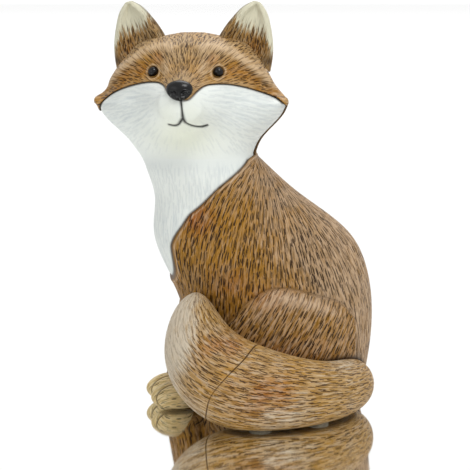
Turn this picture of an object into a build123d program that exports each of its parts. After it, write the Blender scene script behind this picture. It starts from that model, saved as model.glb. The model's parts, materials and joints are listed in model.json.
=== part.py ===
from build123d import *
import os
from collections import namedtuple
from math import atan2, degrees

# A sitting fox ornament in cast resin, made of bonded castings and standing on felt pads.
# Millimetres. +Z is up, the face looks towards -Y and the chest towards -X. Left and right
# are the fox's own sides. The origin is the middle of the footprint, on the floor.

Station = namedtuple("Station", "height centre half_length half_width")
Ring = namedtuple("Ring", "rise aside setback half_width half_depth")
Oval = namedtuple("Oval", "reach rise half_width half_height")
Blade = namedtuple("Blade", "along half_width half_thickness")
Knot = namedtuple("Knot", "x y z radius")

# Casting: wall of the hollow pieces, step down from brown to white, glue gap around pins
WALL = 6.0
RELIEF = 0.8
BOND = 0.15
FAR = 200.0

# Felt pads, one of them at an angle round the seat, and the plate that closes the hollow body
PAD_THICKNESS = 1.5
PAD_RADIUS = 5.5
HAUNCH_PAD_ANGLE = 223.0
PLATE_THICKNESS = 4.0
PLATE_LEDGE = 3.0

# Trunk: ovals from the seat to the neck, along the body's forward direction
BODY_X = 19.0
BODY_Y = 12.0
BODY_TURN = 10.0
SEAT = Station(height=PAD_THICKNESS, centre=-1.5, half_length=42.5, half_width=33.5)
HIP = Station(height=24.0, centre=-2.0, half_length=46.5, half_width=36.0)
WAIST = Station(height=50.0, centre=-2.0, half_length=48.0, half_width=36.5)
CHEST = Station(height=70.0, centre=4.0, half_length=50.5, half_width=35.0)
SHOULDER = Station(height=88.0, centre=12.5, half_length=48.0, half_width=32.0)
COLLAR = Station(height=106.0, centre=24.0, half_length=36.0, half_width=28.5)
NECK = Station(height=125.0, centre=37.0, half_length=28.0, half_width=26.0)
TRUNK = (SEAT, HIP, WAIST, CHEST, SHOULDER, COLLAR, NECK)

# White bib: its border seen from the side, from nape to belly. Each point has its level among
# the trunk's ovals, counted from the seat, and how far it lies behind the front of the trunk
BIB_BORDER = ((6.1, 58.5), (5.83, 45.7), (5.46, 34.7), (5.18, 27.1), (4.79, 19.4), (4.5, 14.5),
              (4.0, 9.1), (3.57, 4.9), (3.23, 4.0), (2.87, 2.8), (2.6, -1.0))

# Main fur strokes engraved in the flanks: their rows among the trunk's ovals, the fan that they
# follow, from above the nape, and their slant on the haunch
STROKE_LENGTH = 9.0
STROKE_WIDTH = 1.2
STROKE_DEPTH = 0.8
STROKE_SPACING = 14.0
STROKE_MARGIN = 8.0
STROKE_ROWS = (1.5, 2.1, 2.9, 3.5, 4.1, 4.7, 5.3)
STROKE_SLANT = -52.0
FAN_FORWARD = 7.0
FAN_HEIGHT = 155.0

# Haunches, forelegs and paws: forward, sideways and up from the middle of the seat
HAUNCH_FORWARD = -3.0
HAUNCH_SIDE = 25.0
HAUNCH_HEIGHT = 28.0
HAUNCH_HALF_LENGTH = 35.0
HAUNCH_HALF_WIDTH = 15.5
HAUNCH_HALF_HEIGHT = 48.5
HAUNCH_CREST = 65.0
FORELEG = (Knot(27, 16, 72, 14), Knot(33, 13, 52, 11.5), Knot(40, 10.5, 30, 9.6), Knot(44, 9.5, 10, 9))
PAW_FORWARD = 51.0
PAW_SIDE = 9.5
PAW_HEIGHT = 6.5
PAW_HALF_LENGTH = 11.5
PAW_HALF_WIDTH = 8.8
PAW_HALF_HEIGHT = 9.5
HINDPAW_FORWARD = 29.0
HINDPAW_SIDE = 32.0
HINDPAW_HALF_LENGTH = 17.0
TOE_SPACING = 5.6
TOE_GROOVE = 1.0
TOE_REACH = 3.0

# Tail: from the rear round the left side to the front, in two castings that meet at the seam
TAIL_ROOT = (Knot(49, 14, 11, 8.5), Knot(56, -3, 13, 11.8), Knot(48.5, -25, 14.3, 13.8),
             Knot(30, -39.5, 16, 16.6), Knot(12, -44, 18.5, 19.8))
TAIL_SEAM = Knot(-4, -43, 23.5, 21.0)
TAIL_TIP = (Knot(-14.8, -36, 33, 18.4), Knot(-18.4, -30, 43.5, 13.8), Knot(-19, -26.5, 51, 9.6),
            Knot(-18.7, -25, 55.4, 6.2), Knot(-18.5, -24.3, 57.8, 3.4), Knot(-18.4, -24, 59, 1.4))
TAIL = TAIL_ROOT + (TAIL_SEAM,) + TAIL_TIP
TIP_PIN_RADIUS = 3.0
TIP_PIN_LENGTH = 18.0
ROOT_PIN_RADIUS = 2.5
ROOT_PIN_LENGTH = 14.0

# Head: level ovals up the jaw and on up the scalp, and upright ones along the muzzle
HEAD_X = -20.9
HEAD_Y = 3.0
HEAD_TURN = 7.0
HEAD_RISE = 32.5
CHEEK = Ring(rise=-6.6, aside=0.0, setback=0.0, half_width=48.5, half_depth=27.5)
JAW = (Ring(rise=-HEAD_RISE, aside=2.0, setback=2.5, half_width=28.5, half_depth=25.5),
       Ring(rise=-24.0, aside=0.6, setback=1.0, half_width=33.5, half_depth=26.5),
       Ring(rise=-15.0, aside=0.0, setback=0.0, half_width=42.3, half_depth=27.5),
       CHEEK)
SCALP = (CHEEK,
         Ring(rise=2.0, aside=0.0, setback=0.5, half_width=40.5, half_depth=27.5),
         Ring(rise=10.0, aside=0.0, setback=1.0, half_width=36.0, half_depth=26.0),
         Ring(rise=18.0, aside=0.0, setback=2.0, half_width=30.0, half_depth=22.0),
         Ring(rise=24.0, aside=0.0, setback=3.0, half_width=20.0, half_depth=14.5),
         Ring(rise=27.0, aside=0.0, setback=3.0, half_width=6.0, half_depth=4.5))
HEAD_HOLLOW_RISE = -9.0
HEAD_HOLLOW_HALF_WIDTH = 31.0
HEAD_HOLLOW_HALF_DEPTH = 19.0
HEAD_HOLLOW_HALF_HEIGHT = 18.0
MUZZLE = (Oval(reach=10.0, rise=-4.5, half_width=31.0, half_height=18.0),
          Oval(reach=22.0, rise=-5.0, half_width=23.5, half_height=15.5),
          Oval(reach=31.0, rise=-5.5, half_width=16.5, half_height=12.8),
          Oval(reach=37.0, rise=-5.5, half_width=11.5, half_height=10.0),
          Oval(reach=40.0, rise=-5.5, half_width=6.5, half_height=6.0),
          Oval(reach=40.8, rise=-5.5, half_width=2.5, half_height=2.3))

# Lower edge of the brown mask seen from the front, sideways distance and rise, and how far
# forward of the middle of the head the white face ends
MASK_EDGE = ((0.0, -5.5), (4.5, -4.0), (9.0, 1.0), (14.0, 2.4), (22.0, 2.2), (32.0, -0.5),
             (40.0, -3.8), (44.0, -7.5), (45.0, -14.0))
MASK_RIDGE = 3.0

# Brow ridges from the ears to the cheeks, with how far they stand out at each place, and the
# hollows below them, on the face
BROW = ((10.0, 19.0, 0.2), (19.0, 18.0, 1.3), (27.0, 13.0, 1.5), (34.0, 6.5, 1.3), (40.0, 0.0, 0.2))
BROW_RADIUS = 3.5
HOLLOW_SIDE = 27.0
HOLLOW_RISE = 4.5
HOLLOW_SLANT = 27.0
HOLLOW_HALF_LENGTH = 12.0
HOLLOW_HALF_HEIGHT = 4.5
HOLLOW_DEPTH = 1.8

# Oval sleeve that locates the head on the neck
SLEEVE_HALF_LENGTH = 16.0
SLEEVE_HALF_WIDTH = 14.0
SLEEVE_WALL = 4.0
SLEEVE_DEPTH = 9.0

# Ears
EAR_SIDE = 25.0
EAR_RISE = 17.5
EAR_SETBACK = 3.0
EAR_LEAN = 15.0
EAR_TURN = 10.0
EAR = (Blade(-8, 15.0, 8.5), Blade(0, 14.4, 7.8), Blade(9, 12.2, 6.4), Blade(17, 8.6, 4.6),
       Blade(22.5, 4.8, 2.8), Blade(25.2, 1.6, 1.2))
EAR_RIM = 2.2
EAR_PEG_RADIUS = 2.5
EAR_PEG_DEPTH = 14.0

# Eyes, nose and mouth: sideways distance and rise on the face
EYE_SIDE = 15.6
EYE_RISE = 8.8
EYE_RADIUS = 2.5
EYE_SINK = 0.8
EYE_PEG_RADIUS = 1.0
EYE_PEG_LENGTH = 4.0
DISH_HALF_WIDTH = 9.0
DISH_HALF_HEIGHT = 5.5
DISH_DEPTH = 2.0
NOSE_RISE = 1.0
NOSE_HALF_WIDTH = 6.2
NOSE_HALF_HEIGHT = 4.8
NOSE_HALF_DEPTH = 4.0
NOSE_SINK = 1.0
NOSE_PEG_RADIUS = 1.8
NOSE_PEG_LENGTH = 6.0
MOUTH_DIP = (0.0, -12.5)
MOUTH_CORNER = (15.0, -15.5)
MOUTH_GROOVE = 1.0
MOUTH_DEPTH = 1.0

BODY = Pos(BODY_X, BODY_Y, 0) * Rot(0, 0, 180 + BODY_TURN)
HEAD = Pos(HEAD_X, HEAD_Y, NECK.height + HEAD_RISE) * Rot(0, 0, -HEAD_TURN)


def ellipsoid(half_x, half_y, half_z):
    return scale(Sphere(1), by=(half_x, half_y, half_z))


def oval(half_x, half_y, inset):
    return Ellipse(half_x - inset, half_y - inset)


def above_floor(shape):
    """What is left of a shape above the common level of the undersides."""
    below = Box(2 * FAR, 2 * FAR, FAR, align=(Align.CENTER, Align.CENTER, Align.MAX))
    return shape - Pos(0, 0, PAD_THICKNESS) * below


# Trunk, haunches and legs, in the body's own directions

def trunk(stations, inset):
    return loft([Pos(s.centre, 0, s.height) * oval(s.half_length, s.half_width, inset) for s in stations])


def body_hollow():
    """The inside of the cast body, up to the collar, with the rebate for the plate below."""
    return trunk(TRUNK[:TRUNK.index(COLLAR) + 1], WALL) + plate_blank(0)


def plate_blank(gap):
    outline = oval(SEAT.half_length, SEAT.half_width, WALL - PLATE_LEDGE + gap)
    return Pos(SEAT.centre, 0, SEAT.height) * extrude(outline, PLATE_THICKNESS)


def trunk_at(level):
    """The oval of the trunk at some level, counted from the seat."""
    low = min(int(level), len(TRUNK) - 2)
    return Station(*[a + (level - low) * (b - a) for a, b in zip(TRUNK[low], TRUNK[low + 1])])


def behind_front(level, depth):
    """A place in the side view, a way behind the front of the trunk at some level of it."""
    here = trunk_at(level)
    return here.centre + here.half_length - depth, here.height


def bib_depth(level):
    """How far the bib reaches back at some level."""
    for (above, deep), (below, less) in zip(BIB_BORDER, BIB_BORDER[1:]):
        if below <= level <= above:
            return less + (deep - less) * (level - below) / (above - below)
    return 0


def bib_side():
    """Everything in front of the bib's border, through the whole width of the body."""
    border = [behind_front(level, depth) for level, depth in BIB_BORDER]
    nape, belly = border[0], border[-1]
    around = Polyline(belly, (FAR, belly[1]), (FAR, FAR), (nape[0], FAR), nape)
    return extrude(Plane.XZ * make_face(Spline(*border) + around), FAR, both=True)


def haunch(side, inset):
    at = Pos(HAUNCH_FORWARD, side * HAUNCH_SIDE, HAUNCH_HEIGHT)
    return at * ellipsoid(HAUNCH_HALF_LENGTH - inset, HAUNCH_HALF_WIDTH - inset, HAUNCH_HALF_HEIGHT - inset)


def stroke_places():
    """Middles of the fur strokes in the side view, each row half a step from the one before."""
    for row, level in enumerate(STROKE_ROWS):
        depth = bib_depth(level) + STROKE_MARGIN + row % 2 * STROKE_SPACING / 2
        while depth < 2 * trunk_at(level).half_length - STROKE_MARGIN:
            yield behind_front(level, depth)
            depth += STROKE_SPACING


def fur_strokes():
    """The strokes on both flanks, cut to an even depth."""
    slots = Sketch()
    for forward, height in stroke_places():
        fan = degrees(atan2(height - FAN_HEIGHT, forward - FAN_FORWARD))
        slant = STROKE_SLANT if height < HAUNCH_CREST else fan
        slots += Pos(forward, height) * Rot(0, 0, slant) * SlotOverall(STROKE_LENGTH, STROKE_WIDTH)
    core = [trunk(TRUNK, STROKE_DEPTH), haunch(1, STROKE_DEPTH), haunch(-1, STROKE_DEPTH)]
    return extrude(Plane.XZ * slots, FAR / 2, both=True) - core


def foreleg(side):
    return limb([Knot(k.x, side * k.y, k.z, k.radius) for k in FORELEG])


def limbs():
    return [haunch(1, 0), haunch(-1, 0), foreleg(1), foreleg(-1)]


def neck_sleeve():
    """A short oval tube, half in the neck and half in the head."""
    outside, inside = [oval(SLEEVE_HALF_LENGTH, SLEEVE_HALF_WIDTH, inset) for inset in (0, SLEEVE_WALL)]
    return Pos(NECK.centre, 0, NECK.height) * extrude(outside - inside, SLEEVE_DEPTH, both=True)


def neck_bore():
    """The way through for the sleeve, from the hollow of the body to the hollow of the head."""
    outline = oval(SLEEVE_HALF_LENGTH, SLEEVE_HALF_WIDTH, -BOND)
    height = NECK.height + SLEEVE_DEPTH + BOND - COLLAR.height
    return Pos(NECK.centre, 0, COLLAR.height) * extrude(outline, height)


def paw(forward, side, half_length):
    """A paw with grooves between its toes."""
    at = Pos(forward, side, PAW_HEIGHT)
    shape = ellipsoid(half_length, PAW_HALF_WIDTH, PAW_HALF_HEIGHT)
    core = ellipsoid(half_length - TOE_GROOVE, PAW_HALF_WIDTH - TOE_GROOVE, PAW_HALF_HEIGHT - TOE_GROOVE)
    slit = Box(FAR, TOE_GROOVE, FAR, align=(Align.MIN, Align.CENTER, Align.CENTER))
    for offset in (-TOE_SPACING / 2, TOE_SPACING / 2):
        shape -= Pos(TOE_REACH, offset, 0) * slit - core
    return above_floor(at * shape)


# Tail and other round limbs

def limb_path(knots):
    return Spline(*[(k.x, k.y, k.z) for k in knots])


def limb_rings(knots):
    """A circle across the path at each knot, turned as little as can be from the one before."""
    path = limb_path(knots)
    across = Vector(0, 0, 1).cross(path % 0)
    rings = []
    for k in knots:
        along = path.tangent_at(path.param_at_point((k.x, k.y, k.z)))
        across = across - along * across.dot(along)
        rings.append(Plane(origin=(k.x, k.y, k.z), x_dir=across, z_dir=along) * Circle(k.radius))
    return rings


def limb(knots):
    return loft(limb_rings(knots))


def tail_castings():
    rings = limb_rings(TAIL)
    seam = TAIL.index(TAIL_SEAM)
    return loft(rings[:seam + 1]), loft(rings[seam:])


def tail_pin(knot, radius, length, before, gap):
    """A pin along the tail, starting the given way before one of its knots."""
    path = limb_path(TAIL)
    at = Vector(knot.x, knot.y, knot.z)
    along = path.tangent_at(path.param_at_point(at))
    start = Plane(origin=at - along * (before + gap), z_dir=along)
    return extrude(start * Circle(radius + gap), length + 2 * gap)


def tip_pin(gap):
    return tail_pin(TAIL_SEAM, TIP_PIN_RADIUS, TIP_PIN_LENGTH, TIP_PIN_LENGTH / 2, gap)


def root_pin(gap):
    return tail_pin(TAIL_ROOT[1], ROOT_PIN_RADIUS, ROOT_PIN_LENGTH, ROOT_PIN_LENGTH / 3, gap)


# Head, in its own directions: x sideways, -y forward, z up from its middle

def head_hollow():
    hollow = ellipsoid(HEAD_HOLLOW_HALF_WIDTH, HEAD_HOLLOW_HALF_DEPTH, HEAD_HOLLOW_HALF_HEIGHT)
    return Pos(0, 0, HEAD_HOLLOW_RISE) * hollow


def skull_half(rings, inset):
    return loft([Pos(r.aside, r.setback, r.rise) * oval(r.half_width, r.half_depth, inset) for r in rings])


def muzzle(inset):
    ovals = []
    for m in MUZZLE:
        at = Plane(origin=(0, inset - m.reach, m.rise), x_dir=(1, 0, 0), z_dir=(0, -1, 0))
        ovals.append(at * oval(m.half_width, m.half_height, inset))
    return loft(ovals)


def head_form(inset):
    return skull_half(JAW, inset) + [skull_half(SCALP, inset), muzzle(inset)]


def white_side():
    """Everything below the mask's edge and in front of the cheek ridge."""
    edge = [(-u, w) for u, w in reversed(MASK_EDGE[1:])] + list(MASK_EDGE)
    around = Polyline(edge[-1], (FAR, edge[-1][1]), (FAR, -FAR), (-FAR, -FAR), (-FAR, edge[0][1]), edge[0])
    front = Plane.XZ * make_face(Spline(*edge) + around)
    return Pos(0, -MASK_RIDGE, 0) * extrude(front, FAR)


def face_depth(head, side, rise):
    """How far back the skin of the face lies at a place in the front view."""
    sight = Line((side, -FAR, rise), (side, 0, rise))
    return min(v.Y for v in (head & sight).vertices())


def eye_place(head):
    return Pos(EYE_SIDE, face_depth(head, EYE_SIDE, EYE_RISE) + DISH_DEPTH + EYE_SINK, EYE_RISE)


def eye_dish():
    """The shallow hollow of the face that an eye sits in."""
    return Pos(0, -DISH_DEPTH - EYE_SINK, 0) * ellipsoid(DISH_HALF_WIDTH, DISH_DEPTH, DISH_HALF_HEIGHT)


def brow(head):
    """A rounded ridge on the face, from the ear down to the cheek."""
    knots = []
    for u, w, stand in BROW:
        depth = face_depth(head, u, w)
        inward = Vector(face_depth(head, u - 1, w) - depth, 1, face_depth(head, u, w - 1) - depth)
        middle = Vector(u, depth, w) + inward.normalized() * (BROW_RADIUS - stand)
        knots.append(Knot(*middle, BROW_RADIUS))
    return limb(knots)


def brow_hollow(head):
    """The slanting hollow between the brow ridge and the edge of the mask."""
    at = Pos(HOLLOW_SIDE, face_depth(head, HOLLOW_SIDE, HOLLOW_RISE), HOLLOW_RISE) * Rot(0, HOLLOW_SLANT, 0)
    return at * ellipsoid(HOLLOW_HALF_LENGTH, HOLLOW_DEPTH, HOLLOW_HALF_HEIGHT)


def peg(radius, length):
    """A round peg that runs back into the head."""
    return Rot(-90, 0, 0) * Cylinder(radius, length, align=(Align.CENTER, Align.CENTER, Align.MIN))


def eye_blank(gap):
    return Sphere(EYE_RADIUS + gap) + peg(EYE_PEG_RADIUS + gap, EYE_RADIUS + EYE_PEG_LENGTH + gap)


def nose_place(head):
    return Pos(0, face_depth(head, 0, NOSE_RISE) + NOSE_SINK, NOSE_RISE)


def nose_blank(gap):
    button = ellipsoid(NOSE_HALF_WIDTH + gap, NOSE_HALF_DEPTH + gap, NOSE_HALF_HEIGHT + gap)
    return button + peg(NOSE_PEG_RADIUS + gap, NOSE_HALF_DEPTH + NOSE_PEG_LENGTH + gap)


def mouth_groove():
    """The engraved mouth line, cut to an even depth under the skin of the muzzle."""
    corners = [(-MOUTH_CORNER[0], MOUTH_CORNER[1]), MOUTH_DIP, MOUTH_CORNER]
    line = [Line((0, NOSE_RISE), MOUTH_DIP)]
    line += [Spline(corners[1], corners[k], tangents=((k - 1, -1), (k - 1, 0.4))) for k in (0, 2)]
    cuts = [trace(one, MOUTH_GROOVE) for one in line]
    front = Plane.XZ * (cuts[0] + cuts[1] + cuts[2])
    return extrude(front, FAR) - head_form(RELIEF + MOUTH_DEPTH)


# Ears, in their own directions: up along the blade, with the cup facing forward

def ear_place():
    return Pos(EAR_SIDE, EAR_SETBACK, EAR_RISE) * Rot(0, EAR_LEAN, 0) * Rot(0, 0, EAR_TURN)


def ear_blade():
    blade = loft([Pos(0, 0, b.along) * Ellipse(b.half_width, b.half_thickness) for b in EAR])
    cup = []
    for b in EAR[1:-1]:
        cup.append(Pos(0, -b.half_thickness, b.along) * Ellipse(b.half_width - EAR_RIM, b.half_thickness))
    return blade - loft(cup)


def ear_peg(gap):
    height = EAR_PEG_DEPTH + EAR[2].along / 2
    return Pos(0, EAR[1].half_thickness / 2, -EAR_PEG_DEPTH - gap) * Cylinder(
        EAR_PEG_RADIUS + gap, height + gap, align=(Align.CENTER, Align.CENTER, Align.MIN))


# Finished pieces

def body_pieces():
    whole = trunk(TRUNK, 0)
    inside = [body_hollow(), neck_bore()]
    front = bib_side()
    coat = above_floor((whole - front) + limbs()) - (inside + [fur_strokes()])
    bib = (trunk(TRUNK, RELIEF) & front) - (inside + [foreleg(1), foreleg(-1)])
    forepaw = paw(PAW_FORWARD, PAW_SIDE, PAW_HALF_LENGTH) - [whole, foreleg(1)]
    hindpaw = paw(HINDPAW_FORWARD, -HINDPAW_SIDE, HINDPAW_HALF_LENGTH) - [whole, haunch(-1, 0)]
    pieces = {
        "coat_shell": coat,
        "chest_bib": bib,
        "left_forepaw": forepaw,
        "right_forepaw": mirror(forepaw, Plane.XZ),
        "right_hindpaw": hindpaw,
        "neck_sleeve": neck_sleeve(),
        "base_plate": plate_blank(BOND),
    }
    return {name: BODY * shape for name, shape in pieces.items()}


def head_pieces():
    head = head_form(0)
    white = white_side()
    inside = [head_hollow(), HEAD.inverse() * BODY * neck_bore()]
    nose = nose_place(head)
    eye = eye_place(head)
    sockets = [eye * eye_blank(BOND), eye * eye_dish(), ear_place() * ear_peg(BOND), brow_hollow(head)]
    both_sockets = sockets + [mirror(cut, Plane.YZ) for cut in sockets]
    ridge = brow(head)
    brown = head + [ridge, mirror(ridge, Plane.YZ)]
    nose_socket = nose * nose_blank(BOND)
    left_ear = (ear_place() * ear_blade() - head) + ear_place() * ear_peg(0)
    left_eye = eye * eye_blank(0)
    pieces = {
        "mask_cap": brown - (inside + both_sockets + [white, nose_socket]),
        "face_ruff": (head_form(RELIEF) & white) - (inside + [mouth_groove(), nose_socket]),
        "left_ear": left_ear,
        "right_ear": mirror(left_ear, Plane.YZ),
        "left_eye": left_eye,
        "right_eye": mirror(left_eye, Plane.YZ),
        "nose_button": nose * nose_blank(0),
    }
    return {name: HEAD * shape for name, shape in pieces.items()}


def tail_pieces(forepaw):
    root, tip = tail_castings()
    neighbours = [BODY * shape for shape in [trunk(TRUNK, 0)] + limbs()] + [forepaw]
    return {
        "tail_root": above_floor(root) - (neighbours + [tip_pin(BOND), root_pin(BOND)]),
        "tail_tip": above_floor(tip) - (neighbours + [tip_pin(BOND)]),
        "tail_dowel": root_pin(0),
        "tail_tip_dowel": tip_pin(0),
    }


def felt_pads():
    """Discs under the tail, the right forepaw and the right haunch."""
    bend, side = TAIL_ROOT[-1], TAIL_ROOT[-3:-1]
    rim = Pos(SEAT.centre, 0, 0) * oval(SEAT.half_length, SEAT.half_width, WALL).edge()
    places = {
        "pad_under_tail": Pos((side[0].x + side[1].x) / 2, (side[0].y + side[1].y) / 2, 0),
        "pad_under_tail_bend": Pos(bend.x, bend.y, 0),
        "pad_under_forepaw": BODY * Pos(PAW_FORWARD, -PAW_SIDE, 0),
        "pad_under_haunch": BODY * Pos(*(rim @ (HAUNCH_PAD_ANGLE / 360))),
    }
    disc = extrude(Circle(PAD_RADIUS), PAD_THICKNESS)
    return {name: place * disc for name, place in places.items()}


def fox():
    body = body_pieces()
    body["coat_shell"] -= root_pin(BOND)
    pieces = {**body, **head_pieces(), **tail_pieces(body["left_forepaw"]), **felt_pads()}
    boxes = [shape.bounding_box() for shape in pieces.values()]
    middle_x = (min(b.min.X for b in boxes) + max(b.max.X for b in boxes)) / 2
    middle_y = (min(b.min.Y for b in boxes) + max(b.max.Y for b in boxes)) / 2
    to_middle = Pos(-middle_x, -middle_y, 0)
    return {name: to_middle * shape for name, shape in pieces.items()}


if __name__ == "__main__":
    os.makedirs("parts", exist_ok=True)
    for name, shape in fox().items():
        export_step(shape, f"parts/{name}.step")
        box = shape.bounding_box()
        print(f"{name}: {box.size.X:.1f} x {box.size.Y:.1f} x {box.size.Z:.1f} mm, valid {shape.is_valid}")
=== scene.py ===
# %% [markdown]
# # A sitting fox in painted resin
#
# The real ornament starts as a clay model. A sculptor shapes it, scratches the fur into it and
# cuts a line wherever two colours meet. A rubber mould is taken from the clay, resin is cast in
# the mould, and the casting is painted, washed with dark brown and brushed over with pale paint.
# This lesson goes the same way: shape the clay, scratch the fur, then paint.

# %% Load the frame
import json
from collections import namedtuple
import bpy
import numpy as np
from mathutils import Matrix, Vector

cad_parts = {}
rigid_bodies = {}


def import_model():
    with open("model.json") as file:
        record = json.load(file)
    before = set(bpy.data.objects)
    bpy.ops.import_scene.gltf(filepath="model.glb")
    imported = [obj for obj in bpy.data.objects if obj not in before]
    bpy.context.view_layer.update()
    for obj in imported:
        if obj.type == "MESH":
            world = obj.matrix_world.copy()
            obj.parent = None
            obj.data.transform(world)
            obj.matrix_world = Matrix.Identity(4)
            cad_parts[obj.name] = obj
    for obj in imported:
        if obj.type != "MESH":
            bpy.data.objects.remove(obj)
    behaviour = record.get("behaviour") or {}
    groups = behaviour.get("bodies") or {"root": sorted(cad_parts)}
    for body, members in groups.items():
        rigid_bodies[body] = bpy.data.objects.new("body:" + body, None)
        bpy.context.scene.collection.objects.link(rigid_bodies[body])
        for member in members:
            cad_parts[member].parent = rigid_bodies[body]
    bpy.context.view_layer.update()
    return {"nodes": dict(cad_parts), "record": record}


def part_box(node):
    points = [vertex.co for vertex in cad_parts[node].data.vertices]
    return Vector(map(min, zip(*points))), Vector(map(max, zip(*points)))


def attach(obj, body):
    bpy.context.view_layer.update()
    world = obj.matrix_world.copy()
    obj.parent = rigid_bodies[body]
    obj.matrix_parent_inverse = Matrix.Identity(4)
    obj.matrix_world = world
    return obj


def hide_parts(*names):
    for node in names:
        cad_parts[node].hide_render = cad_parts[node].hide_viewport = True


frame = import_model()
MM, METRE = 0.001, 1000  # a millimetre in metres, and a metre in millimetres


# %% [markdown]
# ## The clay
#
# A form is described by a field: a number for every place in space, negative inside the form
# and positive outside, in millimetres from its skin. Sculpting by hand would give a similar
# shape, but a field can be joined, cut and pushed in with plain sums, the same way each time.
#
# First comes a smooth curve through given values. It does the work of a bent lath on a drawing
# board: all the long, calm outlines of the fox come from it.

# %% Smooth curves
def spline(at, values, query):
    """A smooth curve through the given values, a natural cubic."""
    at, values = np.array(at, float), np.array(values, float)
    gap, count = np.diff(at), len(at)
    rows, right = np.eye(count), np.zeros(count)
    for i in range(1, count - 1):
        rows[i, i - 1:i + 2] = gap[i - 1], 2 * (gap[i - 1] + gap[i]), gap[i]
    right[1:-1] = 6 * np.diff(np.diff(values) / gap)
    bend = np.linalg.solve(rows, right)
    query = np.clip(query, at[0], at[-1])
    k = np.clip(np.searchsorted(at, query) - 1, 0, count - 2)
    h, before, after = gap[k], at[k + 1] - query, query - at[k]
    curve = (bend[k] * before ** 3 + bend[k + 1] * after ** 3) / (6 * h)
    start = (values[k] / h - bend[k] * h / 6) * before
    end = (values[k + 1] / h - bend[k + 1] * h / 6) * after
    return (curve + (start + end)).astype(np.float32)


def smooth_line(points, count):
    """A line of points made smooth."""
    points = np.array(points, float)
    at = np.linspace(0, len(points) - 1, count)
    return np.stack([spline(range(len(points)), points[:, k], at) for k in (0, 1)], axis=1)


print("a curve through 0, 1 and 0, a quarter of the way:", spline((0, 1, 2), (0, 1, 0), np.array([0.5])))

# %% [markdown]
# Most of the fox can be thought of as slices, like a loaf: the trunk in level ovals, the muzzle
# in upright ones. A stack of ovals is easy to measure from a photograph, because the outline
# gives the half sizes directly.

# %% Ovals and stacks of ovals
TINY = 1e-6


def oval_field(parts, halves):
    """Distance to an ellipse or ellipsoid, close to true near its skin."""
    scaled = [p / h for p, h in zip(parts, halves)]
    size = np.sqrt(sum(a * a for a in scaled)) + TINY
    slope = np.sqrt(sum((a / h) ** 2 for a, h in zip(scaled, halves))) + TINY
    return (size - 1) * size / slope


def stack(x, y, z, rows):
    """A form with oval slices. Each row has its level, the oval's middle and its two half sizes."""
    rows = np.array(rows, float)
    mid_x, mid_y, half_x, half_y = [spline(rows[:, 0], rows[:, k], z) for k in (1, 2, 3, 4)]
    return oval_field((x - mid_x, y - mid_y), (half_x, half_y))


print("from 25 mm out to an oval of half sizes 20 and 10:", round(oval_field((25.0, 0.0), (20.0, 10.0)), 2))

# %% [markdown]
# Where two lumps of clay meet, a thumb smooths the corner. The smaller of two fields joins two
# forms with a sharp corner, and a rounded minimum leaves a fillet there instead.

# %% Join and cut
def melt(a, b, reach):
    """Two forms joined with a fillet."""
    share = np.clip(0.5 + 0.5 * (b - a) / reach, 0, 1)
    return b + (a - b) * share - reach * share * (1 - share)


def carve(a, b, reach):
    """What two forms share, with the edge rounded."""
    return -melt(-a, -b, reach)


print("clay added in a corner with a fillet of 3 mm:", -melt(0.0, 0.0, 3.0), "mm")

# %% [markdown]
# Legs and tail are rolled out of clay and bent. A tube swept along a curve would fold over
# itself in tight bends, so a limb is a close row of balls here. The distance to a line of
# points, in a flat view, later draws every seam, brow and mouth line.

# %% Limbs and lines
VERY_FAR = np.float32(1e6)


def beads(knots, count):
    """Balls along a smooth line through knots of x, y, z and radius, and how far along each lies."""
    knots = np.array(knots, float)
    steps = np.linalg.norm(np.diff(knots[:, :3], axis=0), axis=1)
    way = np.concatenate([[0], np.cumsum(steps)])
    at = np.linspace(0, way[-1], count)
    return np.stack([spline(way, knots[:, k], at) for k in range(4)], axis=1), at


def string_field(x, y, z, balls):
    """A limb as a close row of balls."""
    best = VERY_FAR
    for bx, by, bz, radius in balls:
        best = np.minimum(best, np.sqrt((x - bx) ** 2 + (y - by) ** 2 + (z - bz) ** 2) - radius)
    return best


def line_distance(x, y, line):
    """Distance to a line of points in a flat view."""
    best = VERY_FAR
    for (x0, y0), (x1, y1) in zip(line[:-1], line[1:]):
        dx, dy = x1 - x0, y1 - y0
        share = np.clip(((x - x0) * dx + (y - y0) * dy) / (dx * dx + dy * dy), 0, 1)
        best = np.minimum(best, (x - x0 - share * dx) ** 2 + (y - y0 - share * dy) ** 2)
    return np.sqrt(best)


print("from (1, 2) to a line along x:", line_distance(1.0, 2.0, [(0, 0), (3, 0)]))

# %% [markdown]
# Small forms such as lids, lip pads and pressed lines are pushed into the skin with two soft
# shapes: a round hill and a smooth step. The painter's patches use them as well.

# %% Soft hills and steps
def hill(distance, width):
    """A soft round bump: 1 in the middle, almost 0 at twice the width."""
    return np.exp(-(distance / width) ** 2)


def ease(low, high, x):
    """A smooth step from 0 to 1."""
    share = np.clip((x - low) / (high - low), 0, 1)
    return share * share * (3 - 2 * share)


print("a hill at its width:", round(hill(1.0, 1.0), 2), "and a step half way:", ease(0, 1, 0.5))

# %% [markdown]
# A field fills space, but a casting has a skin. To find it, space is first cut into a block of
# small cells, just larger than the form. The three axes are kept apart, because NumPy combines
# them by itself, and a field that needs only two of them is then worked out much faster.

# %% A block of cells
def space(low, high, step):
    """The three axes of a block of cells, shaped so that they combine to the whole block."""
    axes = [np.arange(a, b + step, step, dtype=np.float32) for a, b in zip(low, high)]
    return np.meshgrid(*axes, indexing="ij", sparse=True)


axes = space((-2, -2, -2), (2, 2, 2), 0.5)
print("a block of", " by ".join(str(axis.size) for axis in axes), "corners")

# %% [markdown]
# The skin is found with the surface nets method. Each cell that the surface passes through gets
# one point, in the middle of where the surface cuts the cell's edges, and neighbouring points join
# to quads. Blender's voxel remesh does much the same to a mesh, but it can't read a field.

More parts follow.
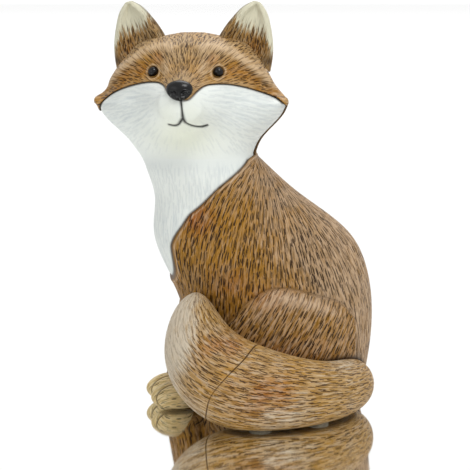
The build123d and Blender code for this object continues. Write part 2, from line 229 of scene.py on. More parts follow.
# %% From a field to a skin
def crossings(field, axis):
    """Where the field changes sign along an axis, and its values before and after."""
    ends = [np.take(field, range(k, field.shape[axis] - 1 + k), axis) for k in (0, 1)]
    at = np.argwhere((ends[0] < 0) != (ends[1] < 0))
    return at, ends[0][tuple(at.T)], ends[1][tuple(at.T)]


def skin(field, axes):
    """Corner points and quads of the surface where the field is zero."""
    strides = np.array([(field.shape[1] - 1) * (field.shape[2] - 1), field.shape[2] - 1, 1])
    rings, points = [], []
    for axis in range(3):
        at, start, end = crossings(field, axis)
        point = at.astype(float)
        point[:, axis] += start / (start - end)
        ring = []
        for b, c in ((-1, -1), (0, -1), (0, 0), (-1, 0)):
            cell = at.copy()
            cell[:, (axis + 1) % 3] += b
            cell[:, (axis + 2) % 3] += c
            ring.append(cell @ strides)
        ring = np.stack(ring, axis=1)
        ring[start > 0] = ring[start > 0][:, ::-1]
        rings.append(ring)
        points.append(np.repeat(point, 4, axis=0))
    rings, points = np.concatenate(rings), np.concatenate(points)
    _, quads = np.unique(rings.ravel(), return_inverse=True)
    share = np.bincount(quads)
    corners = np.stack([np.bincount(quads, points[:, k]) / share for k in range(3)], axis=1)
    low = np.array([a.ravel()[0] for a in axes])
    step = axes[0].ravel()[1] - axes[0].ravel()[0]
    return corners * step + low, quads.reshape(-1, 4)


ball = np.sqrt(sum(axis * axis for axis in axes)) - 1.5
print("a ball of 1.5 mm in that block:", len(skin(ball, axes)[1]), "quads")

# %% [markdown]
# The numbers below are in millimetres, in the sculptor's own frame. The finished part stands with
# the middle of its footprint on the origin, so each skin is moved by the same small shift. It is
# measured on one of the CAD pads, so that skins and solids stay together.

# %% The shared frame
PAD_AT = (12.0, -44.0)
pad_low, pad_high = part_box("pad_under_tail_bend")
pad_middle = METRE * (pad_low.x + pad_high.x) / 2, METRE * (pad_low.y + pad_high.y) / 2
SHIFT = np.array([pad_middle[0] - PAD_AT[0], pad_middle[1] - PAD_AT[1], 0])
print("shift in mm:", SHIFT.round(3))


def turn(x, y, degrees):
    angle = np.radians(degrees)
    return np.cos(angle) * x - np.sin(angle) * y, np.sin(angle) * x + np.cos(angle) * y


def in_frame(x, y, z):
    """Sculptor's millimetres to metres in the shared frame."""
    return (np.stack([x, y, z], axis=1) + SHIFT) * MM


# %% [markdown]
# A mesh in Blender is three lists: points, corners of faces, and where each face starts. Filling
# the lists in one go is much faster than adding faces one by one. Named layers on the points will
# carry the direction of the fur and the places of the paint.

# %% From a skin to an object
def piece(name, points, faces, layers):
    """An object from points and lists of faces, with named layers of values on its points."""
    mesh = bpy.data.meshes.new(name)
    mesh.vertices.add(len(points))
    mesh.vertices.foreach_set("co", np.asarray(points, np.float32).ravel())
    corners = np.concatenate([f.ravel() for f in faces]).astype(np.int32)
    mesh.loops.add(len(corners))
    mesh.loops.foreach_set("vertex_index", corners)
    sides = np.concatenate([np.full(len(f), f.shape[1]) for f in faces])
    mesh.polygons.add(len(sides))
    mesh.polygons.foreach_set("loop_start", (np.cumsum(sides) - sides).astype(np.int32))
    mesh.polygons.foreach_set("use_smooth", np.ones(len(sides), bool))
    for key, values in layers.items():
        values = np.asarray(values, np.float32)
        kind, field = ("FLOAT_VECTOR", "vector") if values.ndim == 2 else ("FLOAT", "value")
        mesh.attributes.new(key, kind, "POINT").data.foreach_set(field, values.ravel())
    mesh.update(calc_edges=True)
    made = bpy.data.objects.new(name, mesh)
    bpy.context.collection.objects.link(made)
    print(name, len(points), "points", int((sides - 2).sum()), "triangles")
    return made


# %% [markdown]
# ## Body
#
# The fox sits with its chest to one side and looks over its shoulder. So the body and the head
# have directions of their own: s, t, z for forward, sideways and up on the body, and u, v, w for
# sideways, back and up on the head. Each is turned and moved into the shared frame at the end.

# %% Directions of the body and the head
BODY_AT, BODY_TURN = (19.0, 12.0), 190.0
HEAD_AT, HEAD_TURN = (-20.9, 3.0, 157.5), -7.0


def from_body(s, t):
    x, y = turn(s, t, BODY_TURN)
    return x + BODY_AT[0], y + BODY_AT[1]


def to_body(x, y):
    return turn(x - BODY_AT[0], y - BODY_AT[1], -BODY_TURN)


def from_head(u, v):
    x, y = turn(u, v, HEAD_TURN)
    return x + HEAD_AT[0], y + HEAD_AT[1]


def body_to_frame(s, t, z):
    return in_frame(*from_body(s, t), z)


def head_to_frame(u, v, w):
    return in_frame(*from_head(u, v), w + HEAD_AT[2])


def body_to_head(s, t, z):
    x, y = from_body(s, t)
    return *turn(x - HEAD_AT[0], y - HEAD_AT[1], -HEAD_TURN), z - HEAD_AT[2]


def head_to_body(u, v, w):
    return *to_body(*from_head(u, v)), w + HEAD_AT[2]


print("middle of the head, seen from the body:", np.round(head_to_body(0.0, 0.0, 0.0), 1))

# %% [markdown]
# The trunk is a stack of ovals that leans forward from the seat to the neck. The head hangs over the
# neck, so the neck's field is melted into the jaw's, and the castings of both follow one curve.
# Where they meet, each one dips under the other, because a plain cut would show a dark slit.

# %% Trunk and jaw
FLOOR, RELIEF = 1.5, 0.8
NECK, NECK_LAP, NECK_FILLET = 125.0, 1.5, 3
TRUNK = [(1.5, -1.5, 0, 42.5, 33.5), (24, -2, 0, 46.5, 36), (50, -2, 0, 48, 36.5),
         (70, 4, 0, 50.5, 35), (88, 12.5, 0, 48, 32), (106, 24, 0, 36, 28.5),
         (125, 37, 0, 28, 26), (133, 41, 0, 23, 22)]
JAW = [(-38, 3, 3.5, 25, 23), (-32.5, 2, 2.5, 28.5, 25.5), (-24, 0.6, 1, 33.5, 26.5),
       (-15, 0, 0, 42.3, 27.5), (-6.6, 0, 0, 48.5, 27.5)]


def jaw(u, v, w):
    return np.maximum(stack(u, v, w, JAW), JAW[0][0] - w)


def trunk(s, t, z):
    return np.maximum(stack(s, t, z, TRUNK), z - TRUNK[-1][0])


def torso(s, t, z):
    """Trunk and neck, melted into the jaw above."""
    return melt(trunk(s, t, z), jaw(*body_to_head(s, t, z)), NECK_FILLET)


def tuck(z):
    """Sinks the last of a casting under its neighbour, so that the joint of the neck is closed."""
    return 0.5 * np.clip(np.abs(z - NECK) / NECK_LAP, 0, 2) ** 2


def neck_end(form, z):
    """Ends a casting of the body at the neck."""
    return np.maximum(form, z - NECK - NECK_LAP) + np.where(z > NECK, tuck(z), 0)


print("trunk of", len(TRUNK), "ovals, jaw of", len(JAW))

# %% [markdown]
# The thigh is a swelling of the flank, with a pressed line along its crest. An egg set against the
# trunk would bulge too far, so the outline of the thigh is drawn in the side view, and the flank
# swells inside it. Each foreleg is a string of balls.

# %% Thighs and forelegs
THIGH_SWELL, CREST_DEPTH = 3.4, 0.6
THIGH = smooth_line([(-50, 0), (-44, 34), (-35.7, 46), (-27.1, 54.4), (-16.3, 58.3), (-6.2, 61.7),
                     (1.8, 63), (9.5, 62.2), (17.9, 57), (24.6, 49), (30.3, 41.6), (34, 28),
                     (36, 0)], 60)
FORELEG = beads([(27, 16, 72, 14), (33, 13, 52, 11.5), (40, 10.5, 30, 9.6), (44, 9.5, 10, 9)], 36)[0]


def inside_thigh(s, z):
    """How far a place in the side view lies inside the outline of the thigh."""
    under = z < np.interp(s, THIGH[:, 0], THIGH[:, 1])
    return np.where(under, 1, -1) * line_distance(s, z, THIGH)


def thigh(s, z):
    """How far the flank swells at the thigh."""
    inside = inside_thigh(s, z)
    swell = THIGH_SWELL * ease(-0.4, 5, inside) - CREST_DEPTH * hill(inside + 0.5, 0.8)
    return swell * ease(-46, -12, s)


print("crest of the thigh at", round(float(THIGH[:, 1].max()), 1), "mm")

# %% [markdown]
# The coat ends in a raised edge where the white bib begins. Seen from the side, that border
# sweeps from the nape down to the belly. The sculptor cut it as a line, so that the painter
# had a clean edge: brown stands a little proud, and the white lies in front of it and below.

# %% Border of the bib
BIB_BORDER = smooth_line([(7, 127), (14.8, 124.5), (18.4, 121.7), (27.6, 114.7), (33.8, 109.5),
                          (40.7, 102.2), (45.2, 98.1), (48.3, 93.1), (51.4, 88), (52.9, 83.9),
                          (53, 80.3), (51.7, 73.5), (50.9, 68), (51.5, 64), (54, 61.4),
                          (58, 60.4)], 70)
BIB_EDGE = np.concatenate([BIB_BORDER, [(90, BIB_BORDER[-1, 1])]])


def behind_bib(s, z):
    """How far a place in the side view lies behind the border of the bib."""
    order = BIB_BORDER[::-1]
    inside = (s > np.interp(z, order[:, 1], order[:, 0])) & (z > BIB_BORDER[-1, 1])
    return np.where(inside, -1, 1) * line_distance(s, z, BIB_EDGE)


print("bib from", BIB_BORDER[-1, 1].round(1), "to", BIB_BORDER[0, 1].round(1), "mm above the floor")

# %% [markdown]
# Now the two castings of the body. Below, the coat has a rebate for the plate that closes the
# hollow from underneath. The bib runs on a little under the raised edge, so no gap can show.

# %% Coat and bib
STEP = 0.45
EDGE_ROLL, EDGE_ROUND, LEG_FILLET, BIB_PRESS, BIB_LAP = 0.35, 0.7, 4, 0.4, 1.2
PLATE_TOP = 5.6
PLATE_REBATE = [(0, -1.5, 0, 39.5, 30.5), (9, -1.5, 0, 39.5, 30.5)]


def coat_field(s, t, z):
    behind = behind_bib(s, z)
    flank = torso(s, t, z) - EDGE_ROLL * hill(behind - 0.7, 1.2)
    flank = neck_end(carve(flank, -behind, EDGE_ROUND), z)
    leg = string_field(s, np.abs(t), z, FORELEG)
    form = melt(flank - thigh(s, z), leg, LEG_FILLET)
    rebate = np.maximum(stack(s, t, z, PLATE_REBATE), z - PLATE_TOP)
    return np.maximum(np.maximum(form, FLOOR - z), -rebate)


def bib_field(s, t, z):
    behind = behind_bib(s, z)
    chest = torso(s, t, z) + RELIEF + BIB_PRESS * hill(behind, 0.7)
    return np.maximum(neck_end(chest, z), behind - BIB_LAP)


axes = space((-52, -43, 0), (58, 43, 128), STEP)
coat_points, coat_quads = skin(coat_field(*axes), axes)
axes = space((2, -38, 54), (68, 38, 128), STEP)
bib_points, bib_quads = skin(bib_field(*axes), axes)
print("coat", len(coat_quads), "quads, bib", len(bib_quads), "quads")

# %% [markdown]
# ## Paws
#
# Each paw is an egg with two scratched lines between its toes. The lines bend outward, as the
# photograph shows on the one paw that looks out beside the tail.

# %% Paws
PAW_STEP, PAW_HEIGHT, PAW_HALF_WIDTH, PAW_HALF_HEIGHT = 0.35, 6.5, 8.8, 7.6
TOE_SIDE, TOE_LINE_WIDTH, TOE_LINE_DEPTH, TOE_RISE = 3.2, 0.45, 0.7, 0.4
PAWS = {"left_forepaw": (51, 9.5, 11.5), "right_forepaw": (51, -9.5, 11.5), "right_hindpaw": (29, -32, 17)}


def toe_lines(s, t, z):
    """How deep a place of a paw lies in one of the lines between the toes."""
    off = np.abs(t) - TOE_SIDE - 0.02 * (s - 3) ** 2
    return hill(off, TOE_LINE_WIDTH) * ease(1, 4, s + 0.5 * z)


def paw_skin(forward, side, half_length):
    """A paw in the body's directions, with the depth of its toe lines."""
    reach = half_length + 1
    axes = space((forward - reach, side - 10, 0.4), (forward + reach, side + 10, 17), PAW_STEP)
    s, t, z = axes[0] - forward, axes[1] - side, axes[2] - PAW_HEIGHT
    form = oval_field((s, t, z), (half_length, PAW_HALF_WIDTH, PAW_HALF_HEIGHT - 0.12 * s))
    form = form - TOE_RISE * hill(t, 2.6) * ease(0, 6, s) + TOE_LINE_DEPTH * toe_lines(s, t, z)
    points, quads = skin(np.maximum(form, FLOOR - axes[2]), axes)
    s, t, z = points.T
    return points, quads, toe_lines(s - forward, t - side, z - PAW_HEIGHT)


paw_skins = {name: paw_skin(*place) for name, place in PAWS.items()}
print({name: len(made[1]) for name, made in paw_skins.items()}, "quads")

# %% [markdown]
# ## Tail
#
# The brush comes from behind, lies round the left side and rises to its tip in front. It is a
# string of balls again. The photograph shows a thin line across it where two castings meet,
# so the string is cut there, and the rounded edges of the cut make the line. Each half keeps a
# few balls past the cut, so that its cut face is full.

# %% Tail
TAIL = [(49, 14, 11, 8.5), (56, -3, 13, 11.8), (48.5, -25, 14.3, 13.8), (30, -39.5, 16, 16.6),
        (12, -44, 18.5, 19.8), (-4, -43, 23.5, 21), (-14.8, -36, 33, 18.4), (-18.4, -30, 43.5, 13.8),
        (-19, -26.5, 51, 9.6), (-18.7, -25, 55.4, 6.2), (-18.5, -24.3, 57.8, 3.4), (-18.4, -24, 59, 1.4)]
TAIL_SEAM, SEAM_ROUND = 5, 0.6
tail_balls, tail_way = beads(TAIL, 90)
tail_ways = np.gradient(tail_balls[:, :3], axis=0)
tail_ways /= np.linalg.norm(tail_ways, axis=1, keepdims=True)
seam_ball = int(np.argmin(np.linalg.norm(tail_balls[:, :3] - np.array(TAIL[TAIL_SEAM][:3]), axis=1)))


def past_seam(x, y, z):
    """How far a place lies on the tip's side of the cut, which wavers as a hand-cut line does."""
    (bx, by, bz, _), (dx, dy, dz) = tail_balls[seam_ball], tail_ways[seam_ball]
    bend = 0.11 * (z - 5) - 2.0 * hill(z - 20, 8) + 1.5 * hill(z - 37, 5)
    return (x - bx) * dx + (y - by) * dy + (z - bz) * dz + bend


def tail_skin(low, high, balls, side):
    axes = space(low, high, STEP)
    form = carve(string_field(*axes, balls), side * past_seam(*axes), SEAM_ROUND)
    return skin(np.maximum(form, FLOOR - axes[2]), axes)


tail_skins = {
    "tail_root": tail_skin((-17, -66, 0), (70, 26, 46), tail_balls[:seam_ball + 4], 1),
    "tail_tip": tail_skin((-34, -66, 0), (12, -14, 64.5), tail_balls[seam_ball - 3:], -1),
}
print({name: len(made[1]) for name, made in tail_skins.items()}, "quads")

# %% [markdown]
# ## Head
#
# The face is pushed in and out as seen from the front: brow ridges that run from the ears to the
# cheek tips, a hollow band under them, lids round the eyes, lip pads and the scratched mouth. On
# the clay these are finger marks, and a sum of soft hills gives the same calm surface.

# %% Marks of the face
EYE = (15.6, 8.8)
BROW = smooth_line([(8, 20), (13.3, 20.8), (23.6, 17), (33, 9.5), (42.4, 1), (47, -4)], 24)
BAND = smooth_line([(13, 8.5), (19, 9.5), (26, 7.8), (33, 3), (41, -2.5)], 20)
LIP_MEET, LIP_PAD = (1.6, -11.6), (5.4, -8.5)
BROW_HEIGHT, BAND_DEPTH, MOUTH_DEPTH = 2.2, 2.8, 1.0
EYE_DISH, LID_HEIGHT, LID_RADIUS = 0.6, 0.5, 3.1
MOUTH = [smooth_line(line, 12) for line in (
    [(0.4, -1), LIP_MEET],
    [LIP_MEET, (3.2, -14.6), (6.5, -16.1), (9.4, -16.2), (11.4, -15.6)],
    [LIP_MEET, (-0.6, -14.4), (-3.2, -15.6), (-6.2, -15.2)])]
# Soft bumps: height, sideways distance, rise, stretch sideways and width
FACE_BUMPS = [(0.9, 9.5, 11, 0.6, 5), (0.9, 0, 8, 0.7, 5), (1.1, *LIP_PAD, 1.15, 4.8)]


def mouth_distance(u, w):
    return np.minimum.reduce([line_distance(u, w, line) for line in MOUTH])


def face_relief(u, w):
    """How far the face stands out, as seen from the front."""
    side = np.abs(u)
    eye = np.sqrt((side - EYE[0]) ** 2 + (w - EYE[1]) ** 2)
    form = BROW_HEIGHT * hill(line_distance(side, w, BROW), 3.0)
    form -= BAND_DEPTH * hill(line_distance(side, w, BAND), 4.2)
    form -= EYE_DISH * hill(eye, 4.0)
    form += LID_HEIGHT * hill(eye - LID_RADIUS, 0.6)
    for height, at, rise, stretch, width in FACE_BUMPS:
        form += height * hill(np.sqrt(((side - at) / stretch) ** 2 + (w - rise) ** 2), width)
    return form - MOUTH_DEPTH * hill(mouth_distance(u, w), 0.5)


heights = [round(float(face_relief(u, w)), 2) for u, w in (BROW[10], BAND[10])]
print("relief half way along the brow and the band:", heights, "mm")

# %% [markdown]
# The skull is two stacks of ovals that meet at the sharp cheek ridge, and the muzzle is a stack
# that runs forward. They are melted together first, and the marks are pressed in afterwards, so
# that a brow can run on from the forehead to the cheek.

# %% Skull and muzzle
CHEEK_TIP, CHEEK_ROUND, MUZZLE_FILLET = 47.6, 4, 5
SCALP = [(-6.6, 0, 0, 48.5, 27.5), (2, 0, 0.5, 40.5, 27.5), (10, 0, 1, 36, 26), (18, 0, 2, 30, 22),
         (24, 0, 3, 20, 14.5), (27, 0, 3, 6, 4.5)]
MUZZLE = [(10, 0, -4.5, 31, 18), (22, 0, -5, 23.5, 15.5), (31, 0, -5.5, 16.5, 12.8),
          (37, 0, -5.5, 11.5, 10), (40, 0, -5.5, 6.5, 6), (40.8, 0, -5.5, 2.5, 2.3)]


def skull(u, v, w):
    scalp = np.maximum(stack(u, v, w, SCALP), w - SCALP[-1][0])
    form = np.where(w < JAW[-1][0], jaw(u, v, w), scalp)
    snout = np.maximum(stack(u, w, -v, MUZZLE), -v - MUZZLE[-1][0])
    form = carve(form, np.abs(u) - CHEEK_TIP, CHEEK_ROUND)
    form = melt(form, np.maximum(snout, v + 5), MUZZLE_FILLET)
    return form - face_relief(u, w) * ease(2, -6, v)


print("skull of", len(SCALP) + len(JAW), "ovals, muzzle of", len(MUZZLE))

# %% [markdown]
# The mask and the white face meet along a line like a moustache: it dips under the nose, rises
# on the cheeks and runs out to the cheek tips. Behind the cheek ridge all is brown again. As on
# the chest, brown stands proud and white lies lower, with a pressed line between them.

# %% Mask and face
MASK_ROLL, MASK_ROUND, RUFF_PRESS = 0.2, 0.6, 0.35
MASK_EDGE = [(-45, -14), (-44.4, -9.5), (-40, -3.8), (-31, 0.8), (-20, 3.8), (-12, 4.2), (-7.4, 2.4),
             (-4, -1.5), (0, -3), (4.5, -3), (8.5, 1.2), (13, 3.4), (22, 3.1), (32, 0.3), (40, -3),
             (44.6, -5.6), (46.6, -8.4), (46.8, -14)]
MASK_LINE = smooth_line(MASK_EDGE, 120)
MASK_LINE[:, 0] = np.maximum.accumulate(np.clip(MASK_LINE[:, 0], MASK_EDGE[0][0], MASK_EDGE[-1][0]))


def above_mask_edge(u, v, w):
    """How far a place lies on the brown side of the mask's edge."""
    up = np.where(w > np.interp(u, MASK_LINE[:, 0], MASK_LINE[:, 1]), 1, -1)
    return np.maximum(up * line_distance(u, w, MASK_LINE), v - 4 * ease(15, -15, u))


axes = space((-53, -48, -36), (53, 36, 29), STEP)
z = axes[2] + HEAD_AT[2]
head = melt(skull(*axes), trunk(*head_to_body(*axes)), NECK_FILLET)
brown = above_mask_edge(*axes)
end = NECK - NECK_LAP - HEAD_AT[2] - axes[2]
sink = np.where(axes[2] < NECK - HEAD_AT[2], tuck(z), 0)
mask_form = carve(head - MASK_ROLL * hill(brown, 1.2) + sink, -brown, MASK_ROUND)
ruff_form = np.maximum(head + RELIEF + RUFF_PRESS * hill(brown, 0.6) + sink, brown - BIB_LAP)
mask_points, mask_quads = skin(np.maximum(mask_form, end), axes)
ruff_points, ruff_quads = skin(np.maximum(ruff_form, end), axes)
print("mask", len(mask_quads), "quads, face", len(ruff_quads), "quads")

# %% [markdown]
# ## Ears and nose
#
# An ear is a pointed blade with a cup pressed into its front, so that a rounded rim is left. Both
# are stacks of ovals, and the same numbers later tell the painter where the cup lies.

# %% Ears
EAR_STEP, EAR_ROUND, EAR_ROOT, CUP_FRONT = 0.4, 2.0, -6, 0.2
EAR_AT, EAR_LEAN, EAR_TURN = (25.0, 3.0, 17.5), 15.0, 10.0
EAR = np.array([(-8, 15, 8.5), (0, 14.4, 7.8), (9, 12.2, 6.4), (17, 8.6, 4.6), (22.5, 4.8, 2.8),
                (25.2, 1.6, 1.2)])
EAR_CUP = np.array([(-3, 9, 8.4), (0, 11.6, 7.8), (9, 9.6, 6.8), (17, 6, 5.2), (21.5, 2.4, 3.6),
                    (23.5, 0.6, 2.4)])


def ear_to_head(x, y, z, side):
    x, y = turn(x, y, EAR_TURN)
    z, x = turn(z, x, EAR_LEAN)
    return side * (x + EAR_AT[0]), y + EAR_AT[1], z + EAR_AT[2]


def oval_at(z, rows):
    """The two half sizes of a row of ovals at a level."""
    return spline(rows[:, 0], rows[:, 1], z), spline(rows[:, 0], rows[:, 2], z)


def ear_cup(x, y, z):
    """The hollow in front of the ear, as a field, and the angle around it."""
    wide, deep = oval_at(z, EAR_CUP)
    behind = y + deep + CUP_FRONT
    ends = np.maximum(z - EAR_CUP[-1, 0], EAR_CUP[0, 0] - z)
    hollow = np.maximum(oval_field((x, behind), (wide, deep)), ends)
    return hollow, np.arctan2(x / wide, behind / deep)


axes = space((-17, -10, -7), (17, 10, 27), EAR_STEP)
blade = np.maximum(oval_field(axes[:2], oval_at(axes[2], EAR)), axes[2] - EAR[-1, 0])
blade = np.maximum(blade, EAR_ROOT - axes[2])
ear_points, ear_quads = skin(carve(blade, -ear_cup(*axes)[0], EAR_ROUND), axes)
print("ear", len(ear_quads), "quads")

# %% [markdown]
# The nose is a button, wider above than below, with two nostrils like commas and a short cleft.
# It needs a finer step than the rest, because it is the smallest carved form on the fox.

# %% Nose
NOSE_STEP, NOSE_AT, NOSE_HALF = 0.25, (0, -39.6, 1.0), (6.2, 4.0, 4.8)
NOSE_TAPER, NOSTRIL_DEPTH, CLEFT_DEPTH = 0.16, 1.1, 0.5
NOSTRIL = smooth_line([(1.7, -1.0), (2.7, -0.3), (3.7, -0.5), (4.4, -1.5)], 12)

axes = space((-7.5, -5.5, -6), (7.5, 5.5, 6), NOSE_STEP)
u, v, w = axes
side, front = np.abs(u), ease(0, -1.5, v)
taper = 1 + NOSE_TAPER * np.clip(w / NOSE_HALF[2], -1, 1)
form = oval_field((u / taper, v, w), NOSE_HALF)
form = form + NOSTRIL_DEPTH * hill(line_distance(side, w, NOSTRIL), 0.75) * front
form = form + CLEFT_DEPTH * hill(side, 0.5) * ease(0.5, -1.5, w) * front
nose_points, nose_quads = skin(form, axes)
print("nose", len(nose_quads), "quads")

# %% [markdown]
# ## Where the fur lies
#
# Every skin gets named layers of values, one value for each point. `flow` is the direction that
# the fur lies in. `hair` says how far along the fur and how far across it a place lies, so that
# a painted line can follow the fur. `fur` says where strokes may be scratched, and the others
# say where the painter put which colour.

# %% Tools for layers
NEVER_ZERO = 1e-9


def unit(vectors):
    return vectors / (np.linalg.norm(vectors, axis=1, keepdims=True) + NEVER_ZERO)


def turn_flat(vectors, degrees):
    """Turns directions of the body or the head into those of the shared frame."""
    x, y = turn(vectors[:, 0], vectors[:, 1], degrees)
    return np.stack([x, y, vectors[:, 2]], axis=1)


def hair_way(along, across):
    """A place on the fur as a vector, along it and across it."""
    return np.stack([along, across, 0 * along], axis=1)


def spots(points, rows):
    """Soft spots of paint, each with its strength, middle and size."""
    return sum(strength * hill(np.linalg.norm((points - np.array(middle)) / np.array(size), axis=1), 1)
               for strength, middle, size in rows)


at_rim = spots(np.zeros((1, 3)), [(1, (5, 0, 0), (5, 5, 5))])
print("paint left at the rim of a spot:", at_rim.round(2))

# %% [markdown]
# On the coat, the strokes fan out from the nape down to the seat, and on the thigh they lie
# aslant. The front of the flank is ochre, the back is paler and greyer, and a few rust-red patches
# break it up. Dark wash lies along the bib and in the pressed line of the thigh, with a few small
# dark spots a little above that line. A dark band where the tail lies against the coat is painted
# shade, and the pale along the raised edge and on the crest of the thigh is painted highlight.

# %% Fur of the coat
NAPE, FAN, SLANT = (7, 133), 0.74, (0.5, -0.866)
DARK_SPOTS = ((11, 68.5), (14.5, 70.5), (17, 66.5), (8, 66))
COAT_PALE = [(0.25, (2, 34, 88), (10, 20, 22))]
COAT_RUST = [(1.0, (42, 27, 97), (6, 12, 7)), (0.6, (8, 40, 30), (26, 12, 8)),
             (0.6, (8, 36, 58), (9, 12, 6)), (0.5, (28, 30, 66), (8, 12, 7))]


def coat_hair(s, t, z, on_thigh):
    """Direction of the fur, and the way along and across it."""
    ahead, down, share = s - NAPE[0], NAPE[1] - z, on_thigh[:, None]
    half_width = spline([row[0] for row in TRUNK], [row[4] for row in TRUNK], z)
    around = np.arctan2(np.abs(t) / half_width * 1.9 * down ** FAN, ahead)
    fan = unit(np.stack([FAN * ahead / down, 0.3 * t / down, -np.ones(len(s))], axis=1))
    flow = unit(fan * (1 - share) + np.array([SLANT[0], 0, SLANT[1]]) * share)
    fan_hair = hair_way(np.hypot(ahead, down), 38 * around)
    slant_hair = hair_way(SLANT[0] * s + SLANT[1] * z, SLANT[0] * z - SLANT[1] * s)
    return turn_flat(flow, BODY_TURN), fan_hair * (1 - share) + slant_hair * share


def coat_layers(points):
    s, t, z = points.T
    behind, inside = behind_bib(s, z), inside_thigh(s, z)
    on_thigh = ease(-0.6, 0.6, inside) * (s > -36)
    flow, hair = coat_hair(s, t, z, on_thigh)
    crest = ease(-40, -10, s) * ease(20, 45, z)
    # painted highlight in a band on the crest of the thigh
    crest_highlight = crest * ease(22, 4, s) * hill(inside - 4.5, 3.0)
    # painted shade: a dark band on the coat where the tail lies against it
    near_tail = string_field(*from_body(s, t), z, tail_balls[::2])
    lines = [0.7 * hill(behind, 0.4), 0.4 * crest * hill(inside + 0.5, 0.5),
             0.9 * hill(near_tail - 0.2, 1.7)]
    # a few small dark spots a little above the crest of the thigh
    dark_spots = sum(hill(np.hypot(s - at, z - rise), 0.8) for at, rise in DARK_SPOTS)
    back = ease(5, -35, s) * (1 - on_thigh)
    return {
        "flow": flow,
        "hair": hair,
        "fur": ease(0.8, 2.0, behind) * ease(FLOOR, FLOOR + 2, z),
        "seam_and_shade": np.clip(np.maximum.reduce(lines) + 0.9 * dark_spots, 0, 1),
        "ochre": np.clip(ease(-24, 20, s + 0.3 * (75 - z)) + 0.9 * on_thigh * ease(60, 46, z), 0, 1),
        # pale: dry-brushed paint, with painted highlights along the raised edge and on the crest
        "pale": 0.1 + 0.45 * hill(behind - 1.0, 0.4) + 0.35 * crest_highlight + 0.25 * ease(95, 122, z)
        + spots(points, COAT_PALE) + 0.35 * back + 0.2 * on_thigh,
        "rust": spots(points, COAT_RUST),
    }


print("coat paint:", len(COAT_RUST), "rust spots,", len(DARK_SPOTS), "dark_spots")

# %% [markdown]
# The bib's hair hangs down, cool grey towards its border, with a soft shade in the crease of the
# neck. On a paw, the fur runs forward over the toes, and the wash stays in the lines between them.

# %% Fur of the bib and the paws
CREASE, CREASE_WIDTH = 122, 4.5


def bib_layers(points):
    s, t, z = points.T
    behind = behind_bib(s, z)
    flow = unit(np.stack([0.25 * (s - 30) / 30, 0.15 * t / 20, -np.ones(len(s))], axis=1))
    return {
        "flow": turn_flat(flow, BODY_TURN),
        "hair": hair_way(-z, 30 * np.abs(np.arctan2(t, s - 18))),
        "fur": ease(-0.8, -2.0, behind) * (1 - hill(z - NECK, 3)),
        "seam_and_shade": hill(behind + 0.1, 0.45),
        "cool": (0.15 + 0.7 * ease(-18, -3, behind)) * (1 - hill(z - NECK, 4)),
        "shade": 0.6 * hill(z - CREASE, CREASE_WIDTH),
    }


def paw_layers(points, lines):
    s, t, z = points.T
    return {
        "flow": turn_flat(np.tile([1.0, 0, 0], (len(s), 1)), BODY_TURN),
        "hair": hair_way(s, 9 * np.arctan2(t - t.mean(), z)),
        "fur": 0.6 * (1 - lines),
        "seam_and_shade": 0.9 * lines,
        "ochre": 0.5 + 0 * z,
        "pale": 0.35 + 0 * z,
    }


print("crease of the neck at", CREASE, "mm")

# %% [markdown]
# The tail's fur runs along the brush. Each point looks for its nearest ball, which tells it how
# far along and how far round the tail it lies. Round is counted from the side that faces away
# from the body, so the place where the count starts again is hidden.

# %% Fur of the tail
TAIL_PALE = [(0.35, (22, -58, 9), (14, 14, 6)), (0.4, (-17, -45, 14), (9, 14, 8)),
             (0.45, (50, -22, 26), (9, 14, 6))]
TAIL_RUST = [(0.8, (12, -62, 21), (16, 14, 10)), (0.8, (-5, -50, 41), (8, 12, 6)),
             (0.5, (-14, -52, 34), (6, 10, 8))]


def tail_hair(points):
    """Direction of the fur, and the way along and across it."""
    gaps = np.linalg.norm(points[:, None, :] - tail_balls[None, :, :3], axis=2) - tail_balls[None, :, 3]
    ball = np.argmin(gaps, axis=1)
    along, offset = unit(tail_ways[ball]), points - tail_balls[ball, :3]
    outward = (tail_balls[ball, :3] - np.array([*BODY_AT, 0])) * [1, 1, 0]
    outward = unit(outward - along * (outward * along).sum(axis=1)[:, None])
    upward = np.cross(along, outward)
    around = np.arctan2((offset * upward).sum(axis=1), (offset * outward).sum(axis=1))
    return along, hair_way(tail_way[ball] + (offset * along).sum(axis=1), 17 * around)


def tail_layers(points):
    x, y, z = points.T
    s, t = to_body(x, y)
    past, body = past_seam(x, y, z), trunk(s, t, z) - thigh(s, z)
    flow, hair = tail_hair(points)
    cut = (0.25 + 0.75 * np.abs(ease(8, 36, z) * 2 - 1)) * hill(past, 0.32)
    return {
        "flow": flow,
        "hair": hair,
        "fur": ease(0.4, 1.2, np.abs(past)) * ease(FLOOR, FLOOR + 2, z),
        # dark line of the cut, and painted shade where the tail lies against the body
        "seam_and_shade": np.maximum(cut, 0.9 * hill(body - 0.2, 1.3)),
        "ochre": 0.8 - 0.25 * ease(8, 34, past),
        "pale": 0.15 + 0.7 * ease(10, 30, past) * ease(-12, -25, x) + spots(points, TAIL_PALE),
        "rust": spots(points, TAIL_RUST),
    }


print("tail paint:", len(TAIL_PALE), "pale spots,", len(TAIL_RUST), "rust spots")

# %% [markdown]
# On the head all hair grows away from the nose, and at the back it lies down. A direction from one
# point to every other gives the first, and a share of straight down, growing to the back, the second.

# %% Hair round the nose
NOSE_ROOT = np.array([0, -40, -1])


def round_nose(points):
    """Fur that lies away from the nose, and down at the back of the head."""
    u, v, w = points.T
    away = points - NOSE_ROOT
    way = np.linalg.norm(away, axis=1)
    flow = unit(away / way[:, None] + ease(-5, 22, v)[:, None] * np.array([0, 0, -1.0]))
    front = hair_way(way, 32 * np.abs(np.arctan2(away[:, 0], away[:, 2])))
    back = hair_way(-w, 26 * np.arctan2(u, v + 6))
    return turn_flat(flow, HEAD_TURN), np.where((v > 7)[:, None], back, front)


print("hair of the mask is up to", round(float(round_nose(mask_points)[1][:, 0].max())), "mm from the nose")
